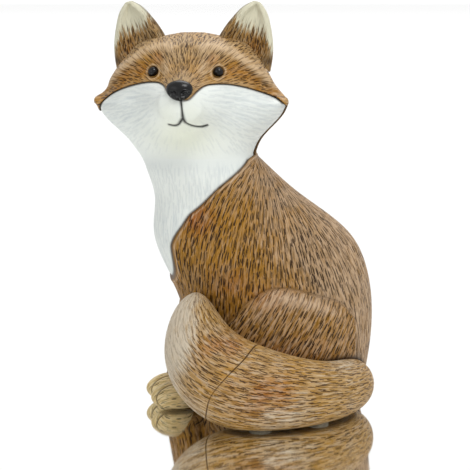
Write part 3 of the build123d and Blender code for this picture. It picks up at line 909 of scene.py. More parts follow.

# %% [markdown]
# The mask is ochre in the hollow band and pale on the brow ridges, with a thin dark line round each
# eye. The pale on the brow ridges and the bumps by the eyes is partly painted highlight, and the
# ochre and rust in the band under the brows are partly painted shade. The same distances that
# pressed the brow and the band into the clay now place their paint, so colour and form can't slip
# apart.

# %% Fur of the mask
def mask_layers(points):
    u, v, w = points.T
    side, front = np.abs(u), ease(6, -4, v)
    flow, hair = round_nose(points)
    brown, eye = above_mask_edge(u, v, w), np.hypot(side - EYE[0], w - EYE[1])
    brow, band = line_distance(side, w, BROW), line_distance(side, w, BAND)
    cheek = line_distance(side, w, BAND[5:])
    # pale paint on the brow ridges and the bump by each eye, partly painted highlight
    pale = 0.65 * hill(brow, 2.6) * ease(47, 39, side) + 0.5 * hill(eye - 3.3, 0.5)
    pale += 0.6 * hill(np.hypot((side - 9.5) / 0.7, w - 10.5), 4.5)
    pale += 0.25 * hill(brown - 1.2, 0.5) * ease(38, 44, side)
    return {
        "flow": flow,
        "hair": hair,
        "fur": ease(0.6, 1.6, brown) * (1 - front * hill(eye, 4.2)) * (1 - 0.7 * front * hill(brow, 2.4)),
        "seam_and_shade": np.maximum(0.85 * hill(brown, 0.4), 0.85 * front * hill(eye - 2.45, 0.35)),
        # ochre and rust in the band under the brows: paint that is partly painted shade
        "ochre": np.clip(0.2 + 0.95 * front * hill(band, 5.0) + 0.4 * front * ease(38, 46, side), 0, 1),
        "pale": 0.05 + front * pale,
        "rust": front * (0.35 * hill(cheek, 3.5) + 0.5 * hill(np.hypot(side - 13, w - 15), 3)),
    }


print("ochre share of the mask:", round(float(mask_layers(mask_points)["ochre"].mean()), 2))

# %% [markdown]
# The white face is cream on the chin, and its cheeks are streaked with grey. The lips and the chin
# are smooth, and the line of the mouth is painted black, a little wider where the lips meet.

# %% Fur of the white face
def ruff_layers(points):
    u, v, w = points.T
    side, front, end = np.abs(u), ease(-4, -12, v), NECK - HEAD_AT[2]
    flow, hair = round_nose(points)
    brown = above_mask_edge(u, v, w)
    lips = hill(np.hypot(side - LIP_PAD[0], w - LIP_PAD[1]), 6)
    chin = 1 - 0.8 * hill(np.hypot(side / 1.5, w + 21), 9)
    mouth_width = 0.5 + 0.45 * hill(np.hypot(u - 1.6, w + 11.8), 2.6)
    crease = hill(w + HEAD_AT[2] - CREASE, CREASE_WIDTH)
    return {
        "flow": flow,
        "hair": hair,
        "fur": ease(-0.8, -2.0, brown) * (1 - lips) * chin * (1 - hill(w - end, 3)),
        "seam_and_shade": hill(brown + 0.1, 0.45),
        "mouth": front * hill(mouth_distance(u, w), mouth_width),
        "cream": np.clip(hill(np.hypot(side / 1.8, w + 22), 9) + 0.4 * lips, 0, 1),
        "cool": (0.1 + 0.8 * ease(8, 26, side) * (1 - hill(w + 24, 8))) * (1 - hill(w - end, 4)),
        "shade": 0.6 * crease + 0.4 * ease(7, 22, side) * ease(-26, -14, w),
    }


print("cream share of the face:", round(float(ruff_layers(ruff_points)["cream"].mean()), 2))

# %% [markdown]
# The tips of the ears are dipped in pale paint with a ragged lower edge. A few sines of different
# lengths make that edge: it needs no noise, and looks as if a stiff brush had drawn it.

# %% Fur of the ears
RAGGED = [(1.6, 3.1, 0), (1.1, 7.3, 1), (0.8, 13, 2)]


def ear_layers(points):
    x, y, z = points.T
    wide, thick = oval_at(z, EAR)
    outer = x / wide
    hollow, around = ear_cup(x, y, z)
    across = np.where(hollow < 0.8, 9 * around, 12 * np.arctan2(outer, y / thick))
    ragged = sum(height * np.sin(often * x + start) for height, often, start in RAGGED)
    tip = ease(8, 16, z + ragged + 9 * ease(0.55, 1.0, outer) - 4 * ease(-0.5, -1.0, outer))
    root = 0.5 * hill(z + 1.5, 2.0) * ease(0, -4, y) + 0.5 * hill(z - 1, 3.5) * ease(7, 13, x)
    return {
        "hair": hair_way(z, across),
        "fur": 1 - 0.5 * tip,
        "seam_and_shade": np.clip(root + 0.6 * hill(outer + 1, 0.06), 0, 1),
        "ochre": 0.5 + 0 * z,
        "pale": tip,
        "rust": 0.5 * hill(np.hypot(x - 4, z - 3), 6),
    }


print("pale share of an ear:", round(float(ear_layers(ear_points)["pale"].mean()), 2))

# %% [markdown]
# ## Scratching the fur
#
# The sculptor drew a pointed tool through the clay, one short stroke after another. Geometry
# Nodes does the same here: points are spread over the skin, each gets a short line laid along
# the fur, and the skin is pressed in near every line. A node tree is built in a script with a
# few helpers: one makes a node and joins its inputs, the others are shorthand for common nodes.
# The paints are set out too, still empty, because the end of the tree gives each piece its paint.

# %% Helpers for node trees
def node(tree, kind, inputs, **settings):
    """A node with its settings, and with its inputs given as values or as other nodes' outputs."""
    made = tree.nodes.new(kind)
    for key, value in settings.items():
        setattr(made, key, value)
    for key, value in inputs.items():
        if isinstance(value, bpy.types.NodeSocket):
            tree.links.new(value, made.inputs[key])
        else:
            made.inputs[key].default_value = value
    return made


def maths(tree, kind, a, b=0.0, c=0.0, clamp=False):
    return node(tree, "ShaderNodeMath", {0: a, 1: b, 2: c}, operation=kind, use_clamp=clamp).outputs[0]


def named(tree, name, kind="FLOAT"):
    return node(tree, "GeometryNodeInputNamedAttribute", {"Name": name}, data_type=kind).outputs[0]


def chance(tree, low, high, seed):
    ends = {2: low, 3: high, "Seed": seed}
    return node(tree, "FunctionNodeRandomValue", ends, data_type="FLOAT").outputs[1]


PAINTS = {row["slot"]: bpy.data.materials.new(row["slot"]) for row in frame["record"]["materials"]}
print("paints to mix:", list(PAINTS))

# %% [markdown]
# The first half of the tree lays the strokes: points at an even spacing, a line on each, turned
# to lie along the fur with a little sway, and longer or shorter by chance.

# %% Lay the strokes
SHORTEST, LONGEST = 0.55, 1.3
LENGTH_SEED, SWAY_SEED = 3, 7
MOST_STROKES = 4e5  # on a square metre


def lay_strokes(tree, given, fur):
    spread = node(tree, "GeometryNodeDistributePointsOnFaces", {
        "Mesh": given["Geometry"], "Distance Min": given["Spacing"], "Density Max": MOST_STROKES,
        "Density Factor": fur, "Seed": given["Seed"]}, distribute_method="POISSON").outputs
    flow = named(tree, "flow", "FLOAT_VECTOR")
    lie = node(tree, "FunctionNodeAxesToRotation", {0: spread["Normal"], 1: flow},
               primary_axis="Z", secondary_axis="X").outputs[0]
    sway = chance(tree, maths(tree, "MULTIPLY", given["Sway"], -1.0), given["Sway"], SWAY_SEED)
    swing = node(tree, "FunctionNodeAxisAngleToRotation", {"Axis": (0, 0, 1), "Angle": sway}).outputs[0]
    lie = node(tree, "FunctionNodeRotateRotation", {0: lie, 1: swing}, rotation_space="LOCAL").outputs[0]
    length = maths(tree, "MULTIPLY", chance(tree, SHORTEST, LONGEST, LENGTH_SEED), given["Length"])
    size = node(tree, "ShaderNodeCombineXYZ", {0: length, 1: 1.0, 2: 1.0}).outputs[0]
    line = node(tree, "GeometryNodeMeshLine", {
        "Count": 2, "Start Location": (-0.5, 0, 0), "Offset": (1, 0, 0)}).outputs[0]
    strokes = node(tree, "GeometryNodeInstanceOnPoints", {
        "Points": spread["Points"], "Instance": line, "Rotation": lie, "Scale": size}).outputs[0]
    return node(tree, "GeometryNodeRealizeInstances", {0: strokes}).outputs[0]


print("a stroke has", SHORTEST, "to", LONGEST, "times its usual length")

# %% [markdown]
# The second half presses the skin in near the strokes. The depth is kept as the layer `groove`,
# because the painter's dark wash will settle there. A bump in the material would be cheaper, but
# the strokes are real grooves on the casting, and they catch the light at the outline too.

# %% Press the strokes in
SCRATCH_SIZES = {"Geometry": "Geometry", "Spacing": "Float", "Length": "Float", "Width": "Float",
                 "Depth": "Float", "Sway": "Float", "Seed": "Int", "Paint": "Material"}


def scratch_tree():
    tree = bpy.data.node_groups.new("scratch fur", "GeometryNodeTree")
    for name, kind in SCRATCH_SIZES.items():
        tree.interface.new_socket(name, in_out="INPUT", socket_type="NodeSocket" + kind)
    tree.interface.new_socket("Geometry", in_out="OUTPUT", socket_type="NodeSocketGeometry")
    given, fur = node(tree, "NodeGroupInput", {}).outputs, named(tree, "fur")
    strokes = lay_strokes(tree, given, fur)
    gap = node(tree, "GeometryNodeProximity", {0: strokes}, target_element="EDGES").outputs["Distance"]
    press = node(tree, "ShaderNodeMapRange", {
        "Value": gap, "From Min": 0.0, "From Max": given["Width"], "To Min": 1.0, "To Max": 0.0},
        interpolation_type="SMOOTHSTEP").outputs[0]
    kept = node(tree, "GeometryNodeStoreNamedAttribute", {
        "Geometry": given["Geometry"], "Name": "groove", "Value": maths(tree, "MULTIPLY", press, fur)},
        data_type="FLOAT").outputs[0]
    depth = maths(tree, "MULTIPLY", named(tree, "groove"), given["Depth"])
    normal = node(tree, "GeometryNodeInputNormal", {}).outputs[0]
    push = node(tree, "ShaderNodeVectorMath", {0: normal, "Scale": maths(tree, "MULTIPLY", depth, -1.0)},
                operation="SCALE").outputs[0]
    moved = node(tree, "GeometryNodeSetPosition", {"Geometry": kept, "Offset": push}).outputs[0]
    painted = node(tree, "GeometryNodeSetMaterial", {"Geometry": moved, "Material": given["Paint"]})
    node(tree, "NodeGroupOutput", {0: painted.outputs[0]})
    return tree


SCRATCH = scratch_tree()
SOCKETS = {item.name: item.identifier for item in SCRATCH.interface.items_tree if item.in_out == "INPUT"}
print("scratch tree with", len(SCRATCH.nodes), "nodes and inputs", list(SOCKETS))

# %% [markdown]
# A modifier runs the tree on a piece. Its inputs are set by their identifiers, and the result is
# copied to a plain mesh, so that nothing has to be worked out again when the scene is rendered.
# Each kind of fur has its own tool: long, deep strokes on the coat, fine ones on the face.

# %% Run the tree on a piece
Stroke = namedtuple("Stroke", "slot spacing length width depth sway seed")
COAT_STROKE = Stroke("brown_coat", spacing=2.7, length=4.4, width=0.5, depth=0.42, sway=0.12, seed=1)
BIB_STROKE = Stroke("white_fur", spacing=2.0, length=5.0, width=0.6, depth=0.16, sway=0.15, seed=2)
TAIL_STROKE = Stroke("tail_fur", spacing=2.3, length=3.4, width=0.46, depth=0.34, sway=0.15, seed=3)
PAW_STROKE = Stroke("paw_tan", spacing=3.0, length=2.6, width=0.4, depth=0.15, sway=0.2, seed=4)
MASK_STROKE = Stroke("brown_mask", spacing=2.1, length=3.2, width=0.45, depth=0.28, sway=0.2, seed=5)
RUFF_STROKE = Stroke("white_fur", spacing=2.0, length=4.5, width=0.6, depth=0.13, sway=0.15, seed=6)
EAR_STROKE = Stroke("ear_fur", spacing=1.7, length=3.2, width=0.42, depth=0.3, sway=0.25, seed=7)


def scratch(made, stroke):
    """Scratches strokes into a piece, and keeps the result as a plain mesh."""
    tool = made.modifiers.new("scratch", "NODES")
    tool.node_group = SCRATCH
    values = {"Spacing": stroke.spacing * MM, "Length": stroke.length * MM, "Width": stroke.width * MM,
              "Depth": stroke.depth * MM, "Sway": stroke.sway, "Seed": stroke.seed,
              "Paint": PAINTS[stroke.slot]}
    for name, value in values.items():
        tool[SOCKETS[name]] = value
    bpy.context.view_layer.update()
    worked = made.evaluated_get(bpy.context.evaluated_depsgraph_get())
    mesh = bpy.data.meshes.new_from_object(worked)
    made.modifiers.clear()
    made.data = mesh
    press = np.empty(len(mesh.vertices), np.float32)
    mesh.attributes["groove"].data.foreach_get("value", press)
    print(made.name, "scratched share", round(float((press > 0.3).mean()), 3))
    return made


# %% [markdown]
# Now every skin of the body becomes an object and is scratched. The skins were shaped in directions
# of their own, so they are moved into the shared frame on the way. One piece after another gets
# its own tool, as a sculptor would change the tool between the back and the paws.

# %% Scratch the body, tail and paws
def fur_piece(name, places, quads, layers, stroke):
    return scratch(piece(name, places, [quads], layers), stroke)


coat = fur_piece("coat", body_to_frame(*coat_points.T), coat_quads, coat_layers(coat_points), COAT_STROKE)
made_pieces = {"chest_bib": fur_piece("chest_bib_fur", body_to_frame(*bib_points.T), bib_quads,
                                      bib_layers(bib_points), BIB_STROKE)}
for name, (points, quads) in tail_skins.items():
    made_pieces[name] = fur_piece(name + "_fur", in_frame(*points.T), quads, tail_layers(points),
                                  TAIL_STROKE)
for name, (points, quads, lines) in paw_skins.items():
    made_pieces[name] = fur_piece(name + "_fur", body_to_frame(*points.T), quads, paw_layers(points, lines),
                                  PAW_STROKE)

# %% [markdown]
# The head follows. One ear serves for both: the right one is the mirror image of the left, so its
# faces are turned round to point outwards again. The nose stays smooth.

# %% Scratch the head and ears
def ear_place(points, side):
    return head_to_frame(*ear_to_head(*points.T, side))


mask = fur_piece("mask_cap_fur", head_to_frame(*mask_points.T), mask_quads, mask_layers(mask_points),
                 MASK_STROKE)
made_pieces["face_ruff"] = fur_piece("face_ruff_fur", head_to_frame(*ruff_points.T), ruff_quads,
                                     ruff_layers(ruff_points), RUFF_STROKE)
for name, side in (("left_ear", 1), ("right_ear", -1)):
    places = ear_place(ear_points, side)
    flow = unit(ear_place(ear_points + np.array([0, 0, 1.0]), side) - places)
    layers = ear_layers(ear_points) | {"flow": flow}
    made_pieces[name] = fur_piece(name + "_fur", places, ear_quads[:, ::side], layers, EAR_STROKE)
nose_places = head_to_frame(*(nose_points + np.array(NOSE_AT)).T)
made_pieces["nose_button"] = piece("nose", nose_places, [nose_quads], {})

# %% [markdown]
# The coat and the mask are large, so their finished skins are handed on in parts, six for the coat
# and two for the mask. Each part is closed with triangles that run from its border to a point
# inside, where nobody sees them, and keeps the shading of the whole skin along its border.

# %% Read a finished skin
def read(items, field, width, kind=np.float32):
    """A list of values from a mesh, with the given count for each item."""
    values = np.empty(width * len(items), kind)
    items.foreach_get(field, values)
    return values.reshape(-1, width) if width > 1 else values


def point_layers(mesh):
    layers = {}
    for layer in mesh.attributes:
        if layer.domain == "POINT" and layer.name != "position":
            if layer.data_type == "FLOAT_VECTOR":
                layers[layer.name] = read(layer.data, "vector", 3)
            elif layer.data_type == "FLOAT":
                layers[layer.name] = read(layer.data, "value", 1)
    return layers


print("layers of the coat:", list(point_layers(coat.data)))

# %% [markdown]
# An edge that belongs to one face only is a border. Counting how often each edge comes up finds
# the border of a part without any search. The Bisect tool would cut through faces instead, and
# leave slivers along the cut.

# %% Split a skin
def border_edges(quads, count):
    """Edges that only one of the faces has."""
    edges = np.concatenate([quads[:, [k, (k + 1) % 4]] for k in range(4)])
    key = edges.min(axis=1).astype(np.int64) * count + edges.max(axis=1)
    _, first, times = np.unique(key, return_index=True, return_counts=True)
    return edges[first[times == 1]]


def split(made, parts):
    mesh = made.data
    points, normals = read(mesh.vertices, "co", 3), read(mesh.vertex_normals, "vector", 3)
    quads = read(mesh.loops, "vertex_index", 1, np.int32).reshape(-1, 4)
    layers, middle = point_layers(mesh), points[quads].mean(axis=1)
    result = []
    for name, inside in parts.items():
        used, own = np.unique(quads[inside(middle)], return_inverse=True)
        own = own.reshape(-1, 4)
        border = border_edges(own, len(used))
        hub = points[used][np.unique(border)].mean(axis=0)
        cap = np.column_stack([border[:, 1], border[:, 0], np.full(len(border), len(used))])
        with_hub = np.append(used, used[0])
        own_layers = {key: values[with_hub] for key, values in layers.items()}
        part = piece(name, np.concatenate([points[used], hub[None]]), [own, cap], own_layers)
        part.data.normals_split_custom_set_from_vertices(normals[with_hub])
        result.append(part)
    bpy.data.objects.remove(made)
    return result


print("faces of the coat before the split:", len(coat.data.polygons))

# %% [markdown]
# The coat is parted along the spine and at two levels, and the mask behind the ears. A part is
# given by a test that says which middles of faces belong to it.

# %% Part the coat and the mask
def coat_part(left, low, high):
    def inside(p):
        s, t = to_body(METRE * p[:, 0] - SHIFT[0], METRE * p[:, 1] - SHIFT[1])
        return ((t > 0) == left) & (p[:, 2] > low) & (p[:, 2] <= high)
    return inside


def mask_part(front):
    def inside(p):
        return (p[:, 1] < HEAD_BACK) == front
    return inside


BEHIND_EARS = 9.0
HEAD_BACK = head_to_frame(np.zeros(1), np.full(1, BEHIND_EARS), np.zeros(1))[0, 1]
LEVELS = {"lower": (-1, 0.036), "middle": (0.036, 0.074), "upper": (0.074, 1)}
coat_parts = split(coat, {f"coat_{side}_{level}": coat_part(side == "left", *ends)
                          for side in ("left", "right") for level, ends in LEVELS.items()})
mask_parts = split(mask, {"mask_front": mask_part(True), "mask_back": mask_part(False)})

# %% [markdown]
# ## Paint
#
# The painter works in layers: a patchy undercoat, a dark wash that is wiped off the high places,
# and pale paint drawn over with an almost dry brush. Each effect becomes a group of shader nodes,
# so that coat, mask, tail, ears and paws can share it with colours of their own.

# %% Helpers for paint
def layer(tree, name, output="Fac"):
    return node(tree, "ShaderNodeAttribute", {}, attribute_name=name).outputs[output]


def blend(tree, share, a, b):
    return node(tree, "ShaderNodeMix", {0: share, 6: a, 7: b}, data_type="RGBA").outputs[2]


def remap(tree, value, low, high):
    return node(tree, "ShaderNodeMapRange", {"Value": value, "From Min": low, "From Max": high}).outputs[0]


def vector(tree, kind, a, b):
    return node(tree, "ShaderNodeVectorMath", {0: a, 1: b}, operation=kind).outputs[0]


def group_tree(name, inputs, outputs):
    """An empty shader group with named sockets."""
    tree = bpy.data.node_groups.new(name, "ShaderNodeTree")
    for side, sockets in (("INPUT", inputs), ("OUTPUT", outputs)):
        for socket, kind in sockets.items():
            tree.interface.new_socket(socket, in_out=side, socket_type="NodeSocket" + kind)
    return tree, node(tree, "NodeGroupInput", {}).outputs


def srgb(*values):
    """A colour as a painter's chart gives it, 0 to 255, in the renderer's linear values."""
    scaled = [v / 255 for v in values]
    return tuple(v / 12.92 if v < 0.04045 else ((v + 0.055) / 1.055) ** 2.4 for v in scaled) + (1.0,)


print("middle grey in linear values:", round(srgb(128, 128, 128)[0], 3))

# %% [markdown]
# Between the scratched strokes the painter left short dark dashes. A cell pattern, stretched along
# the fur, puts one dash in each cell, and the cell's own random colour makes some darker than
# others. Streaks are noise drawn out along the fur, like the marks of a dry brush.

# %% Dashes and streaks
def dash_group():
    """Short painted strokes along the fur: one in each cell of a stretched cell pattern."""
    tree, given = group_tree("fur dashes", {"Hair": "Vector", "Cell": "Vector", "Half": "Vector"},
                             {"Dash": "Float", "Tone": "Float"})
    cell = vector(tree, "DIVIDE", given["Hair"], given["Cell"])
    found = node(tree, "ShaderNodeTexVoronoi", {"Vector": cell, "Scale": 1.0, "Randomness": 0.9},
                 voronoi_dimensions="2D").outputs
    off = vector(tree, "MULTIPLY", vector(tree, "SUBTRACT", cell, found["Position"]), given["Cell"])
    off = vector(tree, "DIVIDE", off, given["Half"])
    size = node(tree, "ShaderNodeVectorMath", {0: off}, operation="LENGTH").outputs["Value"]
    tone = node(tree, "ShaderNodeSeparateColor", {0: found["Color"]}).outputs[0]
    node(tree, "NodeGroupOutput", {"Dash": remap(tree, size, 1.0, 0.7), "Tone": tone})
    return tree


def noise(tree, place, scale, detail):
    return node(tree, "ShaderNodeTexNoise", {
        "Vector": place, "Scale": scale, "Detail": detail, "Roughness": 0.6}).outputs[0]


def streaks(tree, hair, along, across, detail):
    """Noise that is drawn out along the fur."""
    return noise(tree, vector(tree, "MULTIPLY", hair, (along, across, 0.0)), 1.0, detail)


DASHES = dash_group()
print("dash group with", len(DASHES.nodes), "nodes")

# %% [markdown]
# The undercoat is two browns in soft patches, with rust-red where the layer says so. Pale paint
# goes over it in streaks, and the same pale also serves as painted highlight on some raised places.
# Both read the layers on the skin, so the same nodes give an ochre flank and a pale brow.

# %% Undercoat and pale streaks
PATCHES = 70.0  # in a metre


def undercoat(tree, given):
    place = node(tree, "ShaderNodeTexCoord", {}).outputs["Object"]
    patch = noise(tree, place, PATCHES, 4.0)
    uneven = maths(tree, "SUBTRACT", remap(tree, patch, 0.36, 0.64), 0.5)
    tinted = maths(tree, "MULTIPLY_ADD", uneven, 0.9, layer(tree, "ochre"), clamp=True)
    rusty = maths(tree, "MULTIPLY", layer(tree, "rust"), remap(tree, patch, 0.3, 0.6), clamp=True)
    return blend(tree, rusty, blend(tree, tinted, given["Base"], given["Ochre"]), given["Rust"])


def pale_streaks(tree, broad, fine):
    light = maths(tree, "MULTIPLY_ADD", maths(tree, "SUBTRACT", broad, 0.5), 1.8, layer(tree, "pale"))
    thin = maths(tree, "MULTIPLY", remap(tree, fine, 0.53, 0.64), 0.32)
    return maths(tree, "MAXIMUM", remap(tree, light, 0.1, 0.8), thin, clamp=True)


print("patches of paint about", round(METRE / PATCHES), "mm wide")

# %% [markdown]
# The dark wash settles in the grooves, in the dashes and in the dark side of the streaks, and it
# is wiped off the pale places. Seams between the castings stay dark everywhere, and so does the
# painted shade where the tail and the coat meet.

# %% Dark wash and painted fur
def dark_wash(tree, broad, fine, dash):
    groove = remap(tree, layer(tree, "groove"), 0.15, 0.7)
    pressed = maths(tree, "MULTIPLY", groove, remap(tree, broad, 0.72, 0.5))
    dark = maths(tree, "MULTIPLY", remap(tree, broad, 0.48, 0.34), 0.4)
    for share, strength in ((remap(tree, fine, 0.46, 0.36), 0.6), (dash, 0.95), (pressed, 0.95)):
        dark = maths(tree, "MAXIMUM", dark, maths(tree, "MULTIPLY", share, strength))
    wiped = maths(tree, "MULTIPLY", dark, remap(tree, layer(tree, "pale"), 1.1, 0.3))
    return maths(tree, "MAXIMUM", wiped, layer(tree, "seam_and_shade"), clamp=True)


def fur_group():
    colours = {name: "Color" for name in ("Base", "Ochre", "Rust", "Pale", "Wash")}
    tree, given = group_tree("painted fur", colours | {"Cell": "Vector", "Half": "Vector"},
                             {"Colour": "Color", "Normal": "Vector"})
    hair = layer(tree, "hair", "Vector")
    broad, fine = streaks(tree, hair, 0.12, 0.75, 3.0), streaks(tree, hair, 0.22, 2.1, 2.0)
    dashes = node(tree, "ShaderNodeGroup", {"Hair": hair, "Cell": given["Cell"], "Half": given["Half"]},
                  node_tree=DASHES).outputs
    dash = maths(tree, "MULTIPLY", dashes["Dash"], remap(tree, dashes["Tone"], 0.0, 0.4))
    colour = blend(tree, pale_streaks(tree, broad, fine), undercoat(tree, given), given["Pale"])
    colour = blend(tree, dark_wash(tree, broad, fine, dash), colour, given["Wash"])
    height = maths(tree, "SUBTRACT", maths(tree, "ADD", broad, maths(tree, "MULTIPLY", fine, 0.5)), dash)
    bump = node(tree, "ShaderNodeBump", {"Height": height, "Strength": 0.4, "Distance": 0.0004}).outputs[0]
    node(tree, "NodeGroupOutput", {"Colour": colour, "Normal": bump})
    return tree


FUR = fur_group()
print("painted fur group with", len(FUR.nodes), "nodes")

# %% [markdown]
# Five paints use the group. A cell is the room that one dash has, along and across the fur, and
# half is the half length and half width of the dash, all in millimetres. The varnish is satin.

# %% Brown paints
FurPaint = namedtuple("FurPaint", "base ochre rust pale wash cell half")
FUR_PAINTS = {
    "brown_coat": FurPaint(base=(156, 126, 90), ochre=(156, 110, 30), rust=(146, 68, 16),
                           pale=(194, 166, 136), wash=(32, 15, 3), cell=(5.6, 1.8), half=(2.5, 0.35)),
    "brown_mask": FurPaint(base=(176, 146, 104), ochre=(166, 120, 42), rust=(156, 82, 26),
                           pale=(198, 170, 134), wash=(48, 26, 8), cell=(5.0, 1.6), half=(2.2, 0.3)),
    "tail_fur": FurPaint(base=(176, 144, 98), ochre=(176, 134, 62), rust=(154, 82, 24),
                         pale=(206, 192, 170), wash=(56, 30, 8), cell=(5.2, 1.35), half=(2.3, 0.2)),
    "ear_fur": FurPaint(base=(164, 132, 84), ochre=(152, 112, 50), rust=(140, 88, 34),
                        pale=(212, 208, 184), wash=(50, 30, 12), cell=(4.6, 1.4), half=(1.9, 0.28)),
    "paw_tan": FurPaint(base=(234, 210, 156), ochre=(226, 194, 126), rust=(160, 110, 60),
                        pale=(230, 214, 176), wash=(54, 34, 14), cell=(6.0, 3.0), half=(1.5, 0.24)),
}


def fresh(slot):
    """The empty node tree of a paint."""
    paint = PAINTS[slot]
    paint.use_nodes = True
    paint.node_tree.nodes.clear()
    return paint.node_tree


def satin(tree, colour, normal, roughness, specular=0.25):
    shader = node(tree, "ShaderNodeBsdfPrincipled", {
        "Base Color": colour, "Normal": normal, "Roughness": roughness, "Specular IOR Level": specular})
    node(tree, "ShaderNodeOutputMaterial", {"Surface": shader.outputs[0]})


for slot, paint in FUR_PAINTS.items():
    tree = fresh(slot)
    inputs = {key: srgb(*getattr(paint, key.lower())) for key in ("Base", "Ochre", "Rust", "Pale", "Wash")}
    inputs |= {"Cell": (*paint.cell, 1.0), "Half": (*paint.half, 1.0)}
    group = node(tree, "ShaderNodeGroup", {}, node_tree=FUR)
    for key, value in inputs.items():
        group.inputs[key].default_value = value
    satin(tree, group.outputs["Colour"], group.outputs["Normal"], roughness=0.45, specular=0.15)
print("brown paints:", list(FUR_PAINTS))

# %% [markdown]
# The white of the face and the bib is nearly plain. Grey streaks lie where the hair is cool, cream
# on the chin, soft shade in the crease of the neck, and the mouth is a black line in its groove.
# Every tint is one blend over the last, with its own layer as the share.

# %% White paint
WHITE, CREAM = srgb(228, 232, 227), srgb(226, 229, 213)
TINTS = [("shade", 0.4, srgb(184, 190, 190)), ("groove", 0.25, srgb(170, 178, 184)),
         ("seam_and_shade", 0.92, srgb(58, 40, 26)), ("mouth", 1.0, srgb(20, 18, 18))]


def white_paint():
    tree = fresh("white_fur")
    hair = layer(tree, "hair", "Vector")
    broad, fine = streaks(tree, hair, 0.07, 0.5, 3.0), streaks(tree, hair, 0.14, 1.5, 2.0)
    streak = maths(tree, "MAXIMUM", remap(tree, broad, 0.48, 0.68), remap(tree, fine, 0.54, 0.72))
    cool = maths(tree, "MULTIPLY", streak, layer(tree, "cool"))
    colour = blend(tree, layer(tree, "cream"), WHITE, CREAM)
    colour = blend(tree, maths(tree, "MULTIPLY", cool, 0.45), colour, srgb(176, 186, 192))
    for name, strength, tint in TINTS:
        colour = blend(tree, maths(tree, "MULTIPLY", layer(tree, name), strength), colour, tint)
    bump = node(tree, "ShaderNodeBump", {"Height": broad, "Strength": 0.3, "Distance": 0.0004}).outputs[0]
    satin(tree, colour, bump, roughness=0.42)
    return tree


print("white paint with", len(white_paint().nodes), "nodes")

# %% [markdown]
# What is left is plain: gloss black beads for the eyes, a satin nose, and under and inside the
# casting bare resin, beech and felt. One recipe does for all: two close colours in a fine grain.

# %% Plain paints
PlainPaint = namedtuple("PlainPaint", "light dark scale roughness depth")
PLAIN_PAINTS = {
    "eye_bead": PlainPaint(light=(6, 6, 7), dark=(16, 13, 12),
                           scale=900.0, roughness=0.06, depth=0.00002),
    "nose_black": PlainPaint(light=(5, 5, 6), dark=(14, 13, 13),
                             scale=1500.0, roughness=0.26, depth=0.0001),
    "bare_resin": PlainPaint(light=(206, 198, 182), dark=(188, 178, 160),
                             scale=250.0, roughness=0.6, depth=0.0002),
    "wood_pin": PlainPaint(light=(196, 164, 120), dark=(172, 136, 92),
                           scale=600.0, roughness=0.7, depth=0.0002),
    "felt": PlainPaint(light=(196, 190, 172), dark=(166, 158, 140),
                       scale=2500.0, roughness=0.95, depth=0.0004),
}
for slot, paint in PLAIN_PAINTS.items():
    tree = fresh(slot)
    place = node(tree, "ShaderNodeTexCoord", {}).outputs["Object"]
    grain = node(tree, "ShaderNodeTexNoise", {
        "Vector": place, "Scale": paint.scale, "Detail": 4.0}).outputs["Fac"]
    colour = blend(tree, remap(tree, grain, 0.35, 0.65), srgb(*paint.light), srgb(*paint.dark))
    bump = node(tree, "ShaderNodeBump", {
        "Height": grain, "Strength": 0.3, "Distance": paint.depth}).outputs[0]
    satin(tree, colour, bump, paint.roughness)
print("plain paints:", list(PLAIN_PAINTS))

# %% [markdown]
# ## Hand over
#
# Each new skin takes the place of the CAD solid that it was modelled on, and gets that solid's
# paint. Eyes, pads, plate and pins are plain enough to be shown as the CAD made them.

# %% Hand over the pieces
made_groups = {name: [made] for name, made in made_pieces.items()}
made_groups |= {"coat_shell": coat_parts, "mask_cap": mask_parts}
for subpart in frame["record"]["subparts"]:
    name, slot = subpart["node"], subpart["material_slot"]
    group = made_groups.get(name, [])
    for shown in group or [frame["nodes"][name]]:
        shown.data.materials.clear()
        shown.data.materials.append(PAINTS[slot])
    for made in group:
        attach(made, "root")
        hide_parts(name)
    print(name, "in", slot + ":", [made.name for made in group] or "as the CAD made it")

# %% [markdown]
# ## Studio
#
# The fox stands on a mirror in a white room. A polished metal floor gives the reflection, and it
# is slightly grey and green, as the back of a sheet of glass is.

# %% Floor
FLOOR_SIZE = 200
bpy.ops.mesh.primitive_plane_add(size=FLOOR_SIZE)
floor = bpy.context.object
floor.name = "studio_floor"
mirror = bpy.data.materials.new("studio_floor")
mirror.use_nodes = True
shader = mirror.node_tree.nodes["Principled BSDF"]
for key, value in (("Base Color", (0.94, 0.95, 0.94, 1)), ("Roughness", 0.06), ("Metallic", 1.0)):
    shader.inputs[key].default_value = value
floor.data.materials.append(mirror)
print("floor of", FLOOR_SIZE, "by", FLOOR_SIZE, "m")

# %% [markdown]
# The white room is the world. To the camera and in mirrors it is white, but as a light it is much
# dimmer, because the white must not wash out the colours of the fox. Light Path tells the two apart.

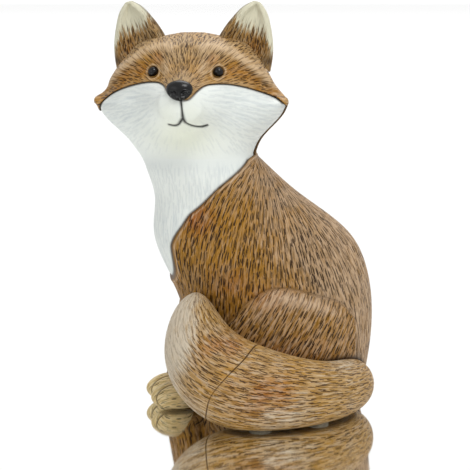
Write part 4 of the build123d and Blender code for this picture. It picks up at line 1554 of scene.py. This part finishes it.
# %% White room
ROOM_LIGHT, ROOM_WHITE = 0.36, 1.08
world = bpy.data.worlds.new("studio")
bpy.context.scene.world = world
world.use_nodes = True
tree = world.node_tree
tree.nodes.clear()
path = node(tree, "ShaderNodeLightPath", {}).outputs
seen = maths(tree, "MAXIMUM", path["Is Camera Ray"], path["Is Glossy Ray"])
seen = maths(tree, "MAXIMUM", seen, path["Is Transmission Ray"])
strength = node(tree, "ShaderNodeMapRange", {
    "Value": seen, "To Min": ROOM_LIGHT, "To Max": ROOM_WHITE}).outputs[0]
sky = node(tree, "ShaderNodeBackground", {"Color": (1, 1, 1, 1), "Strength": strength})
node(tree, "ShaderNodeOutputWorld", {"Surface": sky.outputs[0]})
print("room: light", ROOM_LIGHT, "seen as", ROOM_WHITE)

# %% [markdown]
# Three soft lamps model the form: a key from the front and above, a weak fill from the left, and
# one from behind that lights the crown and the back. The camera is level with the tips of the ears
# and looks down a little, with a long lens, which keeps the nose from looking too big.

# %% Lamps and camera
def lamp(name, place, aim, size, power):
    light = bpy.data.lights.new(name, "AREA")
    light.shape, light.size, light.energy = "DISK", size, power
    made = bpy.data.objects.new(name, light)
    made.location = place
    made.rotation_euler = (Vector(aim) - Vector(place)).to_track_quat("-Z", "Y").to_euler()
    bpy.context.collection.objects.link(made)
    print("lamp", name, power, "W")


lamp("key", (0.28, -0.45, 0.88), (0, 0, 0.1), 0.4, 4.9)
lamp("fill", (-0.6, -0.6, 0.4), (0, 0, 0.1), 0.6, 1.0)
lamp("top", (0.1, 0.35, 0.8), (0, 0, 0.12), 0.6, 2.6)

LOOK_DOWN = 8.12
camera = bpy.data.objects.new("camera", bpy.data.cameras.new("camera"))
camera.location = (0.0002, -0.7943, 0.200)
camera.rotation_euler = (np.radians(90 - LOOK_DOWN), 0, 0)
camera.data.lens, camera.data.sensor_width = 126.15, 36.0
bpy.context.collection.objects.link(camera)
bpy.context.scene.camera = camera
bpy.context.scene.view_settings.view_transform = "Standard"
print("camera with a lens of", round(camera.data.lens, 1), "mm")
